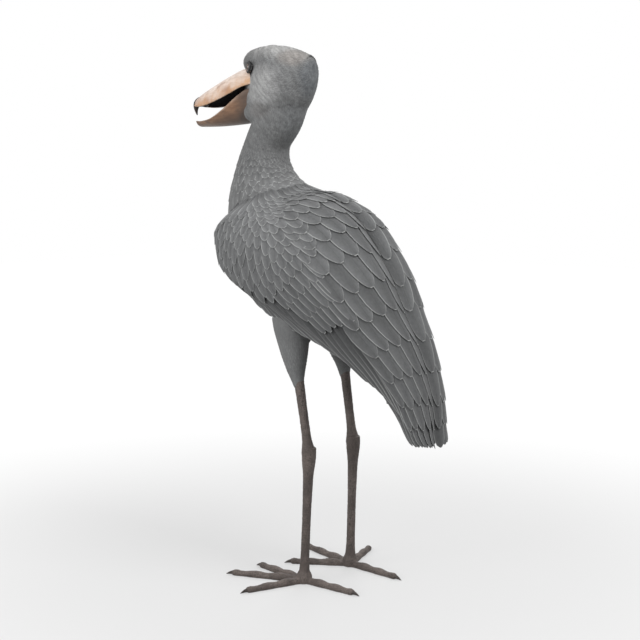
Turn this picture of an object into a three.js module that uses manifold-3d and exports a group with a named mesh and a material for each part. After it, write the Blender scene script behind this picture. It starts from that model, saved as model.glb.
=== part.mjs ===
// A life-size shoebill that stands still, with its bill a little open and its wings folded.
// Millimetres. It faces -Y, its left side is +X, and +Z is up. The floor is z = 0.
//
// Neck and trunk are one tube round a bent spine, and the folded wings lie on that tube as shells
// that carry overlapping vanes. Any place on the body is given by three numbers: how far along the
// spine (u, in stations), how far round from the back (angle, 0 on the back, 180 on the belly) and
// how high over the skin (height, mm).
import * as THREE from "three";
import Module from "manifold-3d";

const wasm = await Module();
wasm.setup();
const { Manifold, Mesh } = wasm;
const { degToRad, clamp, smoothstep, lerp } = THREE.MathUtils;

const GAP = 0.3; // left between pieces that touch
const COLOURS = {
  plumage: "#7d8284",
  dark_plumage: "#63686b",
  bill: "#b79b86",
  eye: "#1b1a19",
  leg: "#4b4440",
  claw: "#2c2724",
};

// The spine, from the skull down the neck and back to the wing tips. Each station holds the place
// of its centre and how far the skin lies from it to each side, to the back and to the belly.
const SPINE = [
  { y: -104, z: 1060, side: 50, back: 68, belly: 50 },
  { y: -118, z: 1000, side: 48, back: 57, belly: 54 },
  { y: -150, z: 942, side: 51, back: 51, belly: 52 },
  { y: -162, z: 882, side: 64, back: 74, belly: 70 },
  { y: -150, z: 820, side: 88, back: 100, belly: 104 },
  { y: -110, z: 750, side: 104, back: 134, belly: 140 },
  { y: -50, z: 690, side: 112, back: 150, belly: 146 },
  { y: 10, z: 635, side: 112, back: 146, belly: 132 },
  { y: 75, z: 580, side: 104, back: 126, belly: 92 },
  { y: 138, z: 522, side: 88, back: 96, belly: 44 },
  { y: 198, z: 468, side: 68, back: 68, belly: 42 },
  { y: 246, z: 410, side: 54, back: 40, belly: 36 },
  { y: 280, z: 345, side: 44, back: 14, belly: 26 },
];
const NECK_TOP = 984; // height of the cut between head and neck
const NECK_FOOT = 3.55; // station of the cut between neck and trunk
const TRUNK_END = 10.3; // station where the trunk ends inside the tail

// The skull, in slices across Y from the nape to the root of the bill.
const HEAD = [
  { y: -20, z: 1092, side: 18, top: 23, bottom: 26 },
  { y: -36, z: 1084, side: 36, top: 48, bottom: 50 },
  { y: -66, z: 1072, side: 54, top: 72, bottom: 74 },
  { y: -104, z: 1068, side: 63, top: 83, bottom: 82 },
  { y: -140, z: 1066, side: 58, top: 80, bottom: 80 },
  { y: -168, z: 1064, side: 47, top: 68, bottom: 76 },
  { y: -190, z: 1062, side: 36, top: 52, bottom: 66 },
];

// The bill, in slices across Y from its root inside the skull to its tip.
const UPPER_BILL = [
  { y: -150, crest: 1112, edge: 1070, side: 42 },
  { y: -186, crest: 1111, edge: 1064, side: 45 },
  { y: -222, crest: 1104, edge: 1052, side: 45 },
  { y: -262, crest: 1091, edge: 1040, side: 42 },
  { y: -302, crest: 1076, edge: 1031, side: 37 },
  { y: -338, crest: 1062, edge: 1028, side: 28 },
  { y: -362, crest: 1051, edge: 1030, side: 17 },
];
const LOWER_BILL = [
  { y: -150, crest: 1062, edge: 992, side: 39 },
  { y: -180, crest: 1057, edge: 989, side: 41 },
  { y: -214, crest: 1040, edge: 986, side: 41 },
  { y: -254, crest: 1018, edge: 984, side: 38 },
  { y: -296, crest: 1001, edge: 983, side: 32 },
  { y: -334, crest: 994, edge: 984, side: 23 },
  { y: -354, crest: 993, edge: 985, side: 13 },
];
const EYE = { x: 39, y: -163, z: 1104, radius: 11 };

// Each leg's centre line from hip to foot, and each toe's length and its heading from straight
// ahead, in degrees towards the bird's left.
const LEGS = {
  l: {
    hip: [74, -18, 575],
    knee: [88, 8, 466],
    thigh_end: [89, 17, 426],
    ankle: [84, 41, 290],
    foot: [79, 22, 16],
    toes: { inner: [141, -6], middle: [165, 22.5], outer: [135, 68], hind: [129, 183] },
  },
  r: {
    hip: [-68, -22, 575],
    knee: [-76, 4, 466],
    thigh_end: [-74, 10, 426],
    ankle: [-66, 41, 290],
    foot: [-71, 29, 16],
    toes: { inner: [134, 33], middle: [163, -12.5], outer: [122, -73], hind: [132, 177] },
  },
};
const TOE_RADIUS = 8.5;
const CLAW_LENGTH = 15;
const LEG_SIDES = 12;

// A solid from points and triangles, turned the right way out.
function solid(points, faces) {
  let volume = 0;
  const [a, b, c] = [0, 1, 2].map(() => new THREE.Vector3());
  for (const [i, j, k] of faces) {
    volume += a.copy(points[i]).dot(b.copy(points[j]).cross(c.copy(points[k])));
  }
  const turned = volume < 0 ? faces.map(([i, j, k]) => [i, k, j]) : faces;
  return new Manifold(
    new Mesh({
      numProp: 3,
      vertProperties: new Float32Array(points.flatMap((p) => p.toArray())),
      triVerts: new Uint32Array(turned.flat()),
    }),
  );
}

// A closed tube through rings of points, with a pole at each end.
function tube(rings, start = centre(rings[0]), end = centre(rings.at(-1))) {
  const count = rings[0].length;
  const points = [...rings.flat(), start, end];
  const first = points.length - 2;
  const last = points.length - 1;
  const tail = (rings.length - 1) * count;
  const faces = [];
  for (let j = 0; j < count; j++) {
    const next = (j + 1) % count;
    for (let i = 0; i < rings.length - 1; i++) {
      const here = i * count;
      const there = here + count;
      faces.push([here + j, here + next, there + next], [here + j, there + next, there + j]);
    }
    faces.push([first, next, j], [last, tail + j, tail + next]);
  }
  return solid(points, faces);
}

// A slab between two grids of points, split into triangles alike on both faces. With tip it ends
// in that point, and otherwise in a wall.
function slab(top, bottom, tip) {
  const rows = top.length;
  const columns = top[0].length;
  const points = [...top.flat(), ...bottom.flat()];
  const under = rows * columns;
  const at = (i, j) => i * columns + j;
  const faces = [];
  const wall = (p, q) => faces.push([p, q, q + under], [p, q + under, p + under]);
  for (let j = 0; j < columns - 1; j++) {
    for (let i = 0; i < rows - 1; i++) {
      const corners = [at(i, j), at(i, j + 1), at(i + 1, j + 1), at(i + 1, j)];
      const [p, q, r, s] = corners;
      const [up, uq, ur, us] = corners.map((k) => k + under);
      faces.push([p, r, q], [p, s, r], [up, uq, ur], [up, ur, us]);
    }
    wall(at(0, j), at(0, j + 1));
    if (!tip) wall(at(rows - 1, j + 1), at(rows - 1, j));
  }
  for (let i = 0; i < rows - 1; i++) {
    wall(at(i, columns - 1), at(i + 1, columns - 1));
    wall(at(i + 1, 0), at(i, 0));
  }
  if (tip) {
    const pole = points.push(tip) - 1;
    const rim = (j) => at(rows - 1, j);
    for (let j = 0; j < columns - 1; j++) {
      faces.push([rim(j), pole, rim(j + 1)], [rim(j) + under, rim(j + 1) + under, pole]);
    }
    faces.push([rim(0), rim(0) + under, pole], [rim(columns - 1) + under, rim(columns - 1), pole]);
  }
  return solid(points, faces);
}

// A smooth curve through the rows' values (Catmull-Rom), with its ends carried straight on.
function through(rows, u) {
  const i = clamp(Math.floor(u), 0, rows.length - 2);
  const t = u - i;
  const row = (k, name) =>
    k < 0
      ? 2 * rows[0][name] - rows[1][name]
      : k < rows.length
        ? rows[k][name]
        : 2 * rows.at(-1)[name] - rows.at(-2)[name];
  const value = {};
  for (const name of Object.keys(rows[0])) {
    const [a, b, c, d] = [-1, 0, 1, 2].map((k) => row(i + k, name));
    value[name] =
      b + 0.5 * t * (c - a + t * (2 * a - 5 * b + 4 * c - d + t * (3 * (b - c) + d - a)));
  }
  return value;
}

function centre(points) {
  return points.reduce((sum, p) => sum.add(p), new THREE.Vector3()).divideScalar(points.length);
}

function steps(from, to, count) {
  return Array.from({ length: count + 1 }, (_, i) => lerp(from, to, i / count));
}

function union(solids) {
  return Manifold.union(solids);
}

// The largest closed surface of a solid: hollows that a union seals and loose scraps are dropped.
function largest(made) {
  return made.decompose().reduce((a, b) => (b.volume() > a.volume() ? b : a));
}

function keepBelow(made, height) {
  return made.trimByPlane([0, 0, -1], -height);
}

function keepAbove(made, height) {
  return made.trimByPlane([0, 0, 1], height);
}

// The body's own coordinates.
function spineAt(u) {
  const here = through(SPINE, u);
  const before = through(SPINE, u - 0.02);
  const after = through(SPINE, u + 0.02);
  const along = new THREE.Vector2(after.y - before.y, after.z - before.z).normalize();
  return { ...here, along };
}

function onBody(u, degrees, height) {
  const s = spineAt(u);
  const angle = degToRad(degrees);
  const reach = (Math.cos(angle) > 0 ? s.back : s.belly) + height;
  const rise = reach * Math.cos(angle);
  const x = (s.side + height) * Math.sin(angle);
  return new THREE.Vector3(x, s.y - s.along.y * rise, s.z + s.along.x * rise);
}

const BODY_ANGLES = steps(-180, 180, 24).slice(0, -1);

function bodyTube(height = 0, from = 0.2, to = TRUNK_END, count = 21) {
  const rings = steps(from, to, count).map((u) => BODY_ANGLES.map((a) => onBody(u, a, height)));
  return tube(rings);
}

// The side of a plane across the spine at a station: towards the tail for sign 1.
function keepAlong(made, u, sign, shift = 0) {
  const { y, z, along } = spineAt(u);
  const offset = along.x * y + along.y * z;
  return made.trimByPlane([0, sign * along.x, sign * along.y], sign * offset + shift);
}

// The skull and bill.
function headRing(slice, count = 18) {
  return steps(0, 2 * Math.PI, count)
    .slice(0, -1)
    .map((angle) => {
      const reach = Math.cos(angle) > 0 ? slice.top : slice.bottom;
      const x = slice.side * Math.sin(angle);
      return new THREE.Vector3(x, slice.y, slice.z + reach * Math.cos(angle));
    });
}

function skull() {
  const rings = steps(0, HEAD.length - 1, 11).map((u) => headRing(through(HEAD, u)));
  const nape = new THREE.Vector3(0, HEAD[0].y + 7, HEAD[0].z);
  const front = new THREE.Vector3(0, HEAD.at(-1).y - 12, HEAD.at(-1).z);
  return tube(rings, nape, front);
}

// The crest: short vanes that stand out from the corner of the nape.
const CREST = [
  { x: 0, z: 1116, width: 6.5, out: 30, rise: -6 },
  { x: 9, z: 1112, width: 6, out: 27, rise: -9 },
  { x: -9, z: 1112, width: 6, out: 27, rise: -9 },
  { x: 17, z: 1104, width: 5.5, out: 23, rise: -13 },
  { x: -17, z: 1104, width: 5.5, out: 23, rise: -13 },
];

function crestVane({ x, z, width, out, rise }) {
  const place = (share, across, under) =>
    new THREE.Vector3(x * (1 + 0.25 * share) + across, -44 + out * share, z + rise * share - under);
  const rows = [[0, 0.8], [0.55, 1], [0.85, 0.7]];
  const grid = (under) =>
    rows.map(([share, wide]) => [-1, 0, 1].map((j) => {
      return place(share, j * wide * width, under + (j === 0 ? 0 : 0.8));
    }));
  return slab(grid(0), grid(1.2), place(1, 0, 1));
}

// One slice of the bill: an arch from edge to edge, and a hollowed face towards the mouth.
function billRing(slice, hollow, grow) {
  const { y, crest, edge, side } = slice;
  const arch = steps(-90, 90, 10).map((degrees) => {
    const angle = degToRad(degrees);
    const x = (side + grow) * Math.sin(angle);
    return new THREE.Vector3(x, y, edge - grow + (crest - edge + 2 * grow) * Math.cos(angle));
  });
  const mouth = steps(0.7, -0.7, 4).map((share) => {
    const depth = Math.max(hollow - grow, 0) * (1 - share * share);
    return new THREE.Vector3(share * (side + grow), y, edge - grow + depth);
  });
  return [...arch, ...mouth];
}

function upperBill(grow = 0) {
  const rings = steps(0, UPPER_BILL.length - 1, 10).map((u) =>
    billRing(through(UPPER_BILL, u), 9, grow),
  );
  const tip = new THREE.Vector3(0, UPPER_BILL.at(-1).y - 11 - grow, 1041);
  return union([tube(rings, undefined, tip), hook(grow)]);
}

// A slit in each side of the upper bill near its root, as the body that is cut out.
const NOSTRIL = { x: 19, y: -205, z: 1103, long: 9, high: 1.5, deep: 7 };

function nostril(way) {
  const { x, y, z, long, high, deep } = NOSTRIL;
  const ahead = new THREE.Vector3(0, -1, -0.2).normalize();
  const rings = [
    [-1, 0.4],
    [-0.4, 1],
    [0.4, 1],
    [1, 0.4],
  ].map(([share, swell]) => {
    const place = new THREE.Vector3(way * x, y, z).addScaledVector(ahead, share * long);
    return ringAcross(place, ahead, deep, high * swell, 6);
  });
  return tube(rings);
}

// The nail at the end of the upper bill, a hook that bends down past the edge.
function hook(grow) {
  const path = new THREE.QuadraticBezierCurve3(
    new THREE.Vector3(0, -352, 1046),
    new THREE.Vector3(0, -381, 1044),
    new THREE.Vector3(0, -373, 1016),
  );
  const rings = steps(0, 0.94, 6).map((t) => {
    const radius = lerp(13, 2, t) + grow;
    return ringAcross(path.getPoint(t), path.getTangent(t), radius, radius * 0.8, 8);
  });
  return tube(rings, undefined, path.getPoint(1));
}

// A ring of points round a place on a path: across is its half-width along X where it can be.
function ringAcross(place, direction, across, deep, count, turn = 0) {
  const side = new THREE.Vector3(1, 0, 0).applyAxisAngle(new THREE.Vector3(0, 0, 1), turn);
  side.addScaledVector(direction, -side.dot(direction)).normalize();
  const up = new THREE.Vector3().crossVectors(direction, side).normalize();
  return steps(0, 2 * Math.PI, count)
    .slice(0, -1)
    .map((angle) =>
      place
        .clone()
        .addScaledVector(side, across * Math.cos(angle))
        .addScaledVector(up, deep * Math.sin(angle)),
    );
}

function lowerBill(grow = 0) {
  const rings = steps(0, LOWER_BILL.length - 1, 10).map((u) => {
    const { y, crest, edge, side } = through(LOWER_BILL, u);
    const flipped = billRing({ y, crest: -edge, edge: -crest, side }, 7, grow);
    return flipped.map((p) => p.setZ(-p.z));
  });
  const tip = new THREE.Vector3(0, LOWER_BILL.at(-1).y - 8 - grow, 990);
  return tube(rings, undefined, tip);
}

function sphere(place, radius, count = 12) {
  const rings = steps(0, Math.PI, count / 2)
    .slice(1, -1)
    .map((polar) =>
      steps(0, 2 * Math.PI, count)
        .slice(0, -1)
        .map((turn) => new THREE.Vector3().setFromSphericalCoords(radius, polar, turn).add(place)),
    );
  const pole = new THREE.Vector3(0, radius, 0);
  return tube(rings, place.clone().add(pole), place.clone().sub(pole));
}

// A raised ring of skin round the eye.
function lid(place, outward) {
  const path = new THREE.EllipseCurve(0, 0, EYE.radius + 1, EYE.radius + 0.5);
  const turn = new THREE.Quaternion().setFromUnitVectors(new THREE.Vector3(0, 0, 1), outward);
  const rings = steps(0, 1, 10)
    .slice(0, -1)
    .map((t) => {
      const flat = path.getPoint(t);
      const out = new THREE.Vector3(flat.x, flat.y, 0).normalize();
      return steps(0, 2 * Math.PI, 5)
        .slice(0, -1)
        .map((angle) =>
          new THREE.Vector3(flat.x, flat.y, 6 + 3 * Math.sin(angle))
            .addScaledVector(out, 3.4 * Math.cos(angle))
            .applyQuaternion(turn)
            .add(place),
        );
    });
  const count = rings[0].length;
  const faces = [];
  rings.forEach((_, i) => {
    const here = i * count;
    const there = ((i + 1) % rings.length) * count;
    for (let j = 0; j < count; j++) {
      const next = (j + 1) % count;
      faces.push([here + j, here + next, there + next], [here + j, there + next, there + j]);
    }
  });
  return solid(rings.flat(), faces);
}

// How high the folded wing stands over the skin: a low edge by the midline, highest on the
// shoulder blades, and thinner down the flank and towards the tip.
function wingTop(u, degrees) {
  const rise = smoothstep(degrees, 2, 30);
  const rear = smoothstep(u, 6, 9);
  const fall = 1 - lerp(0.1, 0.6, rear) * smoothstep(degrees, 40, 110);
  const brim = lerp(0.4, 1, smoothstep(wingEdge(u) - degrees, 0, 14));
  const flank = smoothstep(degrees, 50, 95);
  const start = lerp(smoothstep(u, 4, 6.6), smoothstep(u, 4, 4.7), flank);
  const shoulder = 14 * smoothstep(degrees, 70, 105) * (1 - smoothstep(u, 5.2, 7));
  const along = start * (1 - 0.6 * smoothstep(u, 8.4, 12));
  return 3 + (40 + shoulder) * rise * fall * brim * along;
}

// The wing reaches from near the midline to this angle, station by station.
const WING_EDGE = [
  { u: 4.2, degrees: 102 },
  { u: 4.6, degrees: 120 },
  { u: 5.2, degrees: 128 },
  { u: 6, degrees: 124 },
  { u: 7, degrees: 116 },
  { u: 8, degrees: 112 },
  { u: 10, degrees: 116 },
  { u: 11.4, degrees: 112 },
  { u: 12.4, degrees: 100 },
];
const MIDLINE_GAP = 2; // from the midline to each wing
const WING_START = 4.2;
const WING_CORE_END = 11.2;

function wingEdge(u) {
  const k = WING_EDGE.findIndex((row) => row.u > u);
  if (k < 0) return WING_EDGE.at(-1).degrees;
  const [a, b] = [WING_EDGE[Math.max(k - 1, 0)], WING_EDGE[k]];
  return lerp(a.degrees, b.degrees, clamp((u - a.u) / (b.u - a.u), 0, 1));
}

function midlineAngle(u) {
  const { side } = spineAt(u);
  return THREE.MathUtils.radToDeg(Math.asin(5 / (side + 3)));
}

function wingShell(low, high, widen = 0) {
  const rows = steps(WING_START, WING_CORE_END, 11).map((u) => {
    const from = midlineAngle(u) - widen;
    return steps(from, wingEdge(u) + widen, 7).map((degrees) => [u, degrees]);
  });
  const grid = (height) => rows.map((row) => row.map(([u, a]) => onBody(u, a, height(u, a))));
  return slab(grid(high), grid(low));
}

function mirrored(made, side) {
  return side === "l" ? made : made.mirror([1, 0, 0]);
}

// The core under the feathers: just below the wing's top, and lower under the long flight feathers
// of the flank.
function coreTop(u, degrees) {
  const drop = 5 * smoothstep(u, 6.4, 7.4) * smoothstep(degrees, 58, 70);
  return wingTop(u, degrees) - 1 - drop;
}

// A feather: a thin vane with a raised shaft line, from a root sunk in the core to a lifted round
// tip. It runs from one (station, angle) to another, and one of its edges leans over its neighbour.
const VANE_ROWS = [
  { share: 0, width: 0.55, height: 0 },
  { share: 0.2, width: 0.8, height: 1.4 },
  { share: 0.6, width: 1, height: 4.2 },
  { share: 0.88, width: 0.76, height: 6 },
];
const VANE_TIP = { share: 1, height: 6.4 };
const VANE_THICKNESS = 1.1;
const SHAFT_RISE = 0.5;
const ROOT_DEPTH = 3;

function vane({ from, to, width, sunk, lean }) {
  const place = ({ share, height }, across, under) => {
    const u = lerp(from[0], to[0], share);
    const angle = lerp(from[1], to[1], share);
    const perDegree = onBody(u, angle + 1, 0).distanceTo(onBody(u, angle - 1, 0)) / 2;
    const degrees = angle + across / perDegree;
    const shaft = across === 0 ? SHAFT_RISE : 0;
    const base = share === 0 ? coreTop(u, degrees) - ROOT_DEPTH : wingTop(u, degrees) - sunk;
    return onBody(u, degrees, base + height + lean * across + shaft - under);
  };
  const grid = (under) =>
    VANE_ROWS.map((row) => [-1, 0, 1].map((j) => place(row, j * row.width * width, under)));
  return slab(grid(0), grid(VANE_THICKNESS), place(VANE_TIP, 0, VANE_THICKNESS / 2));
}

// The tiers of one wing, front to back. A tier's tips lie at a station (from its first feather to
// its last), spread over a range of angles, and each feather is so many stations long.
const TIERS = [
  { name: "lesser covert", tips: [5.25, 5.35], angles: [54, 112], count: 4, length: 0.9, width: 23 },
  { name: "median covert", tips: [6.05, 6.1], angles: [57, 112], count: 4, length: 1.0, width: 24 },
  { name: "greater covert", tips: [6.95, 6.8], angles: [59, 107], count: 4, length: 1.1, width: 22 },
  { name: "scapular", tips: [5.7, 5.5], angles: [15, 36], count: 2, length: 1.2, width: 21 },
  { name: "scapular", tips: [6.7, 6.5], angles: [14, 40], count: 3, length: 1.3, width: 18 },
  { name: "scapular", tips: [7.75, 7.55], angles: [14, 42], count: 3, length: 1.5, width: 19 },
  { name: "tertial", tips: [8.85, 8.7], angles: [17, 54], count: 3, length: 1.7, width: 21 },
  { name: "tertial", tips: [9.95, 9.8], angles: [21, 62], count: 3, length: 1.7, width: 19 },
  { name: "tertial", tips: [11.0, 10.85], angles: [25, 68], count: 3, length: 1.6, width: 16 },
  { name: "tertial", tips: [11.85, 11.7], angles: [34, 66], count: 2, length: 1.5, width: 15 },
  { name: "secondary", tips: [11.6, 8.7], angles: [78, 112], count: 5, length: 2.5, width: 11 },
  { name: "primary", tips: [12.5, 12.1], angles: [40, 96], count: 3, length: 1.5, width: 12 },
];
// How deep under the wing's top a tier lies at its first and last feather, and how far its vanes
// lean.
const LAYERS = {
  secondary: { sunk: [2.2, 7.4], lean: 0.2 },
  primary: { sunk: [4, 9], lean: 0.2 },
};
const TOP_LAYER = { sunk: [0, 0], lean: 0.13 };
const LENGTH_PLAY = 0.08;

function tierVanes({ name, tips, angles, count, length, width }, draw) {
  const layer = LAYERS[name] ?? TOP_LAYER;
  return steps(0, 1, count - 1).map((share) => {
    const tip = lerp(tips[0], tips[1], share) + LENGTH_PLAY * (draw() - 0.5);
    const angle = lerp(angles[0], angles[1], share);
    const from = [tip - length, lerp(angle, 62, 0.12)];
    const sunk = lerp(layer.sunk[0], layer.sunk[1], share);
    return vane({ from, to: [tip, angle], width, sunk, lean: layer.lean });
  });
}

// Random numbers from 0 to 1 that are the same on every run.
function seeded(seed) {
  let state = seed;
  return () => {
    state = (state * 1664525 + 1013904223) % 4294967296;
    return state / 4294967296;
  };
}

function wing(side) {
  const core = wingShell((u) => -4 * (1 - smoothstep(u, 9.6, 10.4)) + 0.2, coreTop);
  const draw = seeded(side === "l" ? 7 : 11);
  const vanes = TIERS.flatMap((tier) => tierVanes(tier, draw));
  const clear = bodyTube(GAP + 0.2);
  const left = union([core, ...vanes]).trimByPlane([1, 0, 0], MIDLINE_GAP);
  return largest(mirrored(left, side).subtract(clear));
}

// The tail: the end of the trunk, a pad that thins out, and flat feathers that overlap from the
// middle pair outwards.
const TAIL_START = 9.3;
const TAIL_TOP = 0.5; // height of the pad's face, as a share of the trunk's own
const TAIL_FEATHERS = { pairs: 5, width: 8, step: 1.9, thickness: 0.9 };

function tailPlace(u, x, down) {
  const s = spineAt(u);
  const share = clamp(x / s.side, -0.98, 0.98);
  const up = TAIL_TOP * Math.min(s.back, s.belly) * Math.sqrt(1 - share * share) - down;
  return new THREE.Vector3(x, s.y - s.along.y * up, s.z + s.along.x * up);
}

function tailFeather(order, way) {
  const { width, step, thickness } = TAIL_FEATHERS;
  const down = 1.2 + step * (order + (way < 0 ? 0.5 : 0));
  const end = way * (0.11 + 0.185 * order);
  const rows = [
    { u: 10, spread: 0.75, width: 0.7 },
    { u: 11.2, spread: 0.9, width: 1 },
    { u: 12, spread: 1, width: 0.9 },
  ];
  const place = (row, j, under) => {
    const middle = end * row.spread * spineAt(row.u).side;
    return tailPlace(row.u, middle + j * width * row.width, down + under);
  };
  const grid = (under) => rows.map((row) => [-1, 0, 1].map((j) => place(row, j, under)));
  const tip = place({ u: 12.25 - 0.03 * order, spread: 1.02, width: 0 }, 0, thickness / 2);
  return slab(grid(0), grid(thickness), tip);
}

function tail() {
  const rows = steps(TAIL_START + 0.1, 11.5, 4).map((u) =>
    steps(-0.9, 0.9, 6).map((share) => [u, share * spineAt(u).side]),
  );
  const thick = (u, x) => {
    const { side, back, belly } = spineAt(u);
    const round = Math.sqrt(1 - (x / side) ** 2);
    return lerp(1.25, 0.2, smoothstep(u, 9.6, 11.5)) * Math.min(back, belly) * round;
  };
  const face = (deep) => rows.map((row) => row.map(([u, x]) => tailPlace(u, x, deep * thick(u, x))));
  const stump = keepAlong(bodyTube(), TAIL_START, 1, GAP);
  const feathers = [1, -1].flatMap((way) =>
    Array.from({ length: TAIL_FEATHERS.pairs }, (_, order) => tailFeather(order, way)),
  );
  return union([stump, slab(face(0), face(1)), ...feathers]);
}

// Legs.
function limb(path, radii, count) {
  const rings = path.map((place, i) => {
    const before = path[Math.max(i - 1, 0)];
    const after = path[Math.min(i + 1, path.length - 1)];
    const direction = after.clone().sub(before).normalize();
    return ringAcross(place, direction, radii[i], radii[i], count);
  });
  return tube(rings);
}

function between(from, to, shares) {
  return shares.map((share) => new THREE.Vector3().lerpVectors(from, to, share));
}

function leg(side) {
  const { hip, knee, thigh_end, ankle, foot, toes } = LEGS[side];
  const [h, k, t, a, f] = [hip, knee, thigh_end, ankle, foot].map((p) => new THREE.Vector3(...p));
  const body = bodyTube(GAP + 0.2);
  const cover = mirrored(wingShell(() => -6, (u, d) => wingTop(u, d) + 9, 5), side);
  const thigh = limb([...between(h, k, [0, 0.25, 0.5, 0.75]), ...between(k, t, [0, 0.5, 1])],
    [44, 42, 36, 29.5, 22, 16, 10.8], 16);
  const shin = limb(
    [...between(t, a, [-0.02, 0.2, 0.5, 0.78, 0.9, 1]), new THREE.Vector3(a.x, a.y, a.z - 12)],
    [10, 10, 10, 11, 13.5, 15.5, 15], LEG_SIDES);
  const cannon = limb(
    [new THREE.Vector3(a.x, a.y, a.z + 8), ...between(a, f, [0, 0.05, 0.12, 0.5, 0.84, 0.95, 1])],
    [15, 15.5, 14, 10.5, 10, 11.5, 14, 14], LEG_SIDES);
  const pad = limb([new THREE.Vector3(f.x, f.y, 22), f, new THREE.Vector3(f.x, f.y, -2)],
    [13, 17, 16], LEG_SIDES);
  const lower = keepAbove(keepBelow(union([cannon, pad]), a.z - GAP / 2), 0);
  const parts = {
    [`thigh_${side}`]: largest(keepAbove(thigh, t.z + GAP).subtract(body).subtract(cover)),
    [`shin_${side}`]: keepAbove(keepBelow(shin, t.z), a.z + GAP / 2),
    [`tarsus_${side}`]: lower,
  };
  const taken = [clearHub(f)];
  for (const [name, [length, heading]] of Object.entries(toes)) {
    const made = toe(f, length, heading, 0);
    parts[`toe_${name}_${side}`] = largest(keepAbove(taken.reduce((m, g) => m.subtract(g), made), 0));
    parts[`claw_${name}_${side}`] = claw(f, length, heading);
    taken.push(toe(f, length, heading, GAP + 0.1));
  }
  return parts;
}

// The foot's hub with a gap round it, taken out of each toe.
function clearHub(f) {
  const grown = GAP + 0.2;
  return limb(
    [new THREE.Vector3(f.x, f.y, 60), new THREE.Vector3(f.x, f.y, 22), f,
      new THREE.Vector3(f.x, f.y, -6)],
    [12.5 + grown, 14.5 + grown, 17 + grown, 16 + grown], LEG_SIDES);
}

function toeFrame(f, heading) {
  const angle = degToRad(heading);
  return { ahead: new THREE.Vector3(Math.sin(angle), -Math.cos(angle), 0), turn: angle };
}

// A toe: a low arch with a pad under each joint, flat where it rests.
function toe(f, length, heading, grow) {
  const { ahead, turn } = toeFrame(f, heading);
  const shares = [0, 0.3, 0.42, 0.55, 0.68, 0.8, 0.92, 1];
  const rings = shares.map((share) => {
    const swell = 1 + 0.1 * Math.cos(share * 6 * Math.PI);
    const radius = lerp(TOE_RADIUS, 6.4, share) * swell * (share === 1 ? 0.7 : 1) + grow;
    const place = f.clone().setZ(radius * 0.74 - grow * 0.74).addScaledVector(ahead, share * length);
    return ringAcross(place, ahead, radius, radius, 8, turn);
  });
  return tube(rings);
}

function claw(f, length, heading) {
  const { ahead, turn } = toeFrame(f, heading);
  const shares = [0, 0.35, 0.7];
  const rings = shares.map((share) => {
    const radius = lerp(4.2, 1.6, share / 0.7);
    const place = f.clone().setZ(4.9 - 2.6 * share)
      .addScaledVector(ahead, length + GAP + share * CLAW_LENGTH);
    return ringAcross(place, ahead, radius * 0.85, radius, 6, turn);
  });
  const tip = f.clone().setZ(0.9).addScaledVector(ahead, length + GAP + CLAW_LENGTH);
  return tube(rings, undefined, tip);
}

// The parts, by name.
const bird = new THREE.Group();

function material(colour, roughness = 0.9) {
  return new THREE.MeshStandardMaterial({ color: COLOURS[colour], roughness, metalness: 0 });
}

function add(name, made, colour, roughness) {
  const { vertProperties, triVerts } = made.getMesh();
  const geometry = new THREE.BufferGeometry();
  geometry.setAttribute("position", new THREE.BufferAttribute(new Float32Array(vertProperties), 3));
  geometry.setIndex(new THREE.BufferAttribute(new Uint32Array(triVerts), 1));
  const piece = new THREE.Mesh(geometry, material(colour, roughness));
  piece.name = name;
  bird.add(piece);
}

const eyes = { l: 1, r: -1 };
const eyePlace = (way) => new THREE.Vector3(way * EYE.x, EYE.y, EYE.z);
const lookingOut = (way) => new THREE.Vector3(way * 0.8, -0.58, 0.12).normalize();

const body = bodyTube();
let head = union([
  skull(),
  bodyTube(0, 0.2, 3, 8),
  ...Object.values(eyes).map((way) => lid(eyePlace(way), lookingOut(way))),
  ...CREST.map(crestVane),
]);
head = keepAbove(head, NECK_TOP + GAP / 2);
head = head.subtract(union([upperBill(GAP), lowerBill(GAP)]));
const sockets = union(Object.values(eyes).map((way) => sphere(eyePlace(way), EYE.radius + GAP)));
add("head", largest(head.subtract(sockets)), "plumage");
const nostrils = union(Object.values(eyes).map(nostril));
add("upper_bill", largest(upperBill().subtract(sockets).subtract(nostrils)), "bill", 0.5);
add("lower_bill", largest(lowerBill()), "bill", 0.5);
for (const [side, way] of Object.entries(eyes)) {
  add(`eye_${side}`, sphere(eyePlace(way), EYE.radius), "eye", 0.1);
}
const neckAndTrunk = keepBelow(body, NECK_TOP - GAP / 2);
add("neck", keepAlong(neckAndTrunk, NECK_FOOT, -1, GAP / 2), "plumage");
add("torso", keepAlong(keepAlong(neckAndTrunk, NECK_FOOT, 1, GAP / 2), TAIL_START, -1), "plumage");
add("wing_l", wing("l"), "dark_plumage");
add("wing_r", wing("r"), "dark_plumage");
add("tail", largest(tail()), "dark_plumage");
for (const side of ["l", "r"]) {
  for (const [name, made] of Object.entries(leg(side))) {
    const kind = name.startsWith("thigh") ? "plumage" : name.startsWith("claw") ? "claw" : "leg";
    add(name, made, kind, 0.8);
  }
}

// The origin goes to the middle of the bird's footprint, on the floor.
const box = new THREE.Box3().setFromObject(bird);
bird.position.set(-(box.min.x + box.max.x) / 2, -(box.min.y + box.max.y) / 2, -box.min.z);

export default bird;
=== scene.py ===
# %% [markdown]
# # A standing shoebill
# This lesson dresses the solids of a life-size shoebill with skin, plumage, bill, eyes and feet.
# The bird stands still, like a model in a museum, with its wings folded and its bill a little
# open. All shapes are worked out as whole numpy arrays in millimetres, in the bird's own frame:
# it faces -Y, its left side is +X, and the floor is z = 0.

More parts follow.
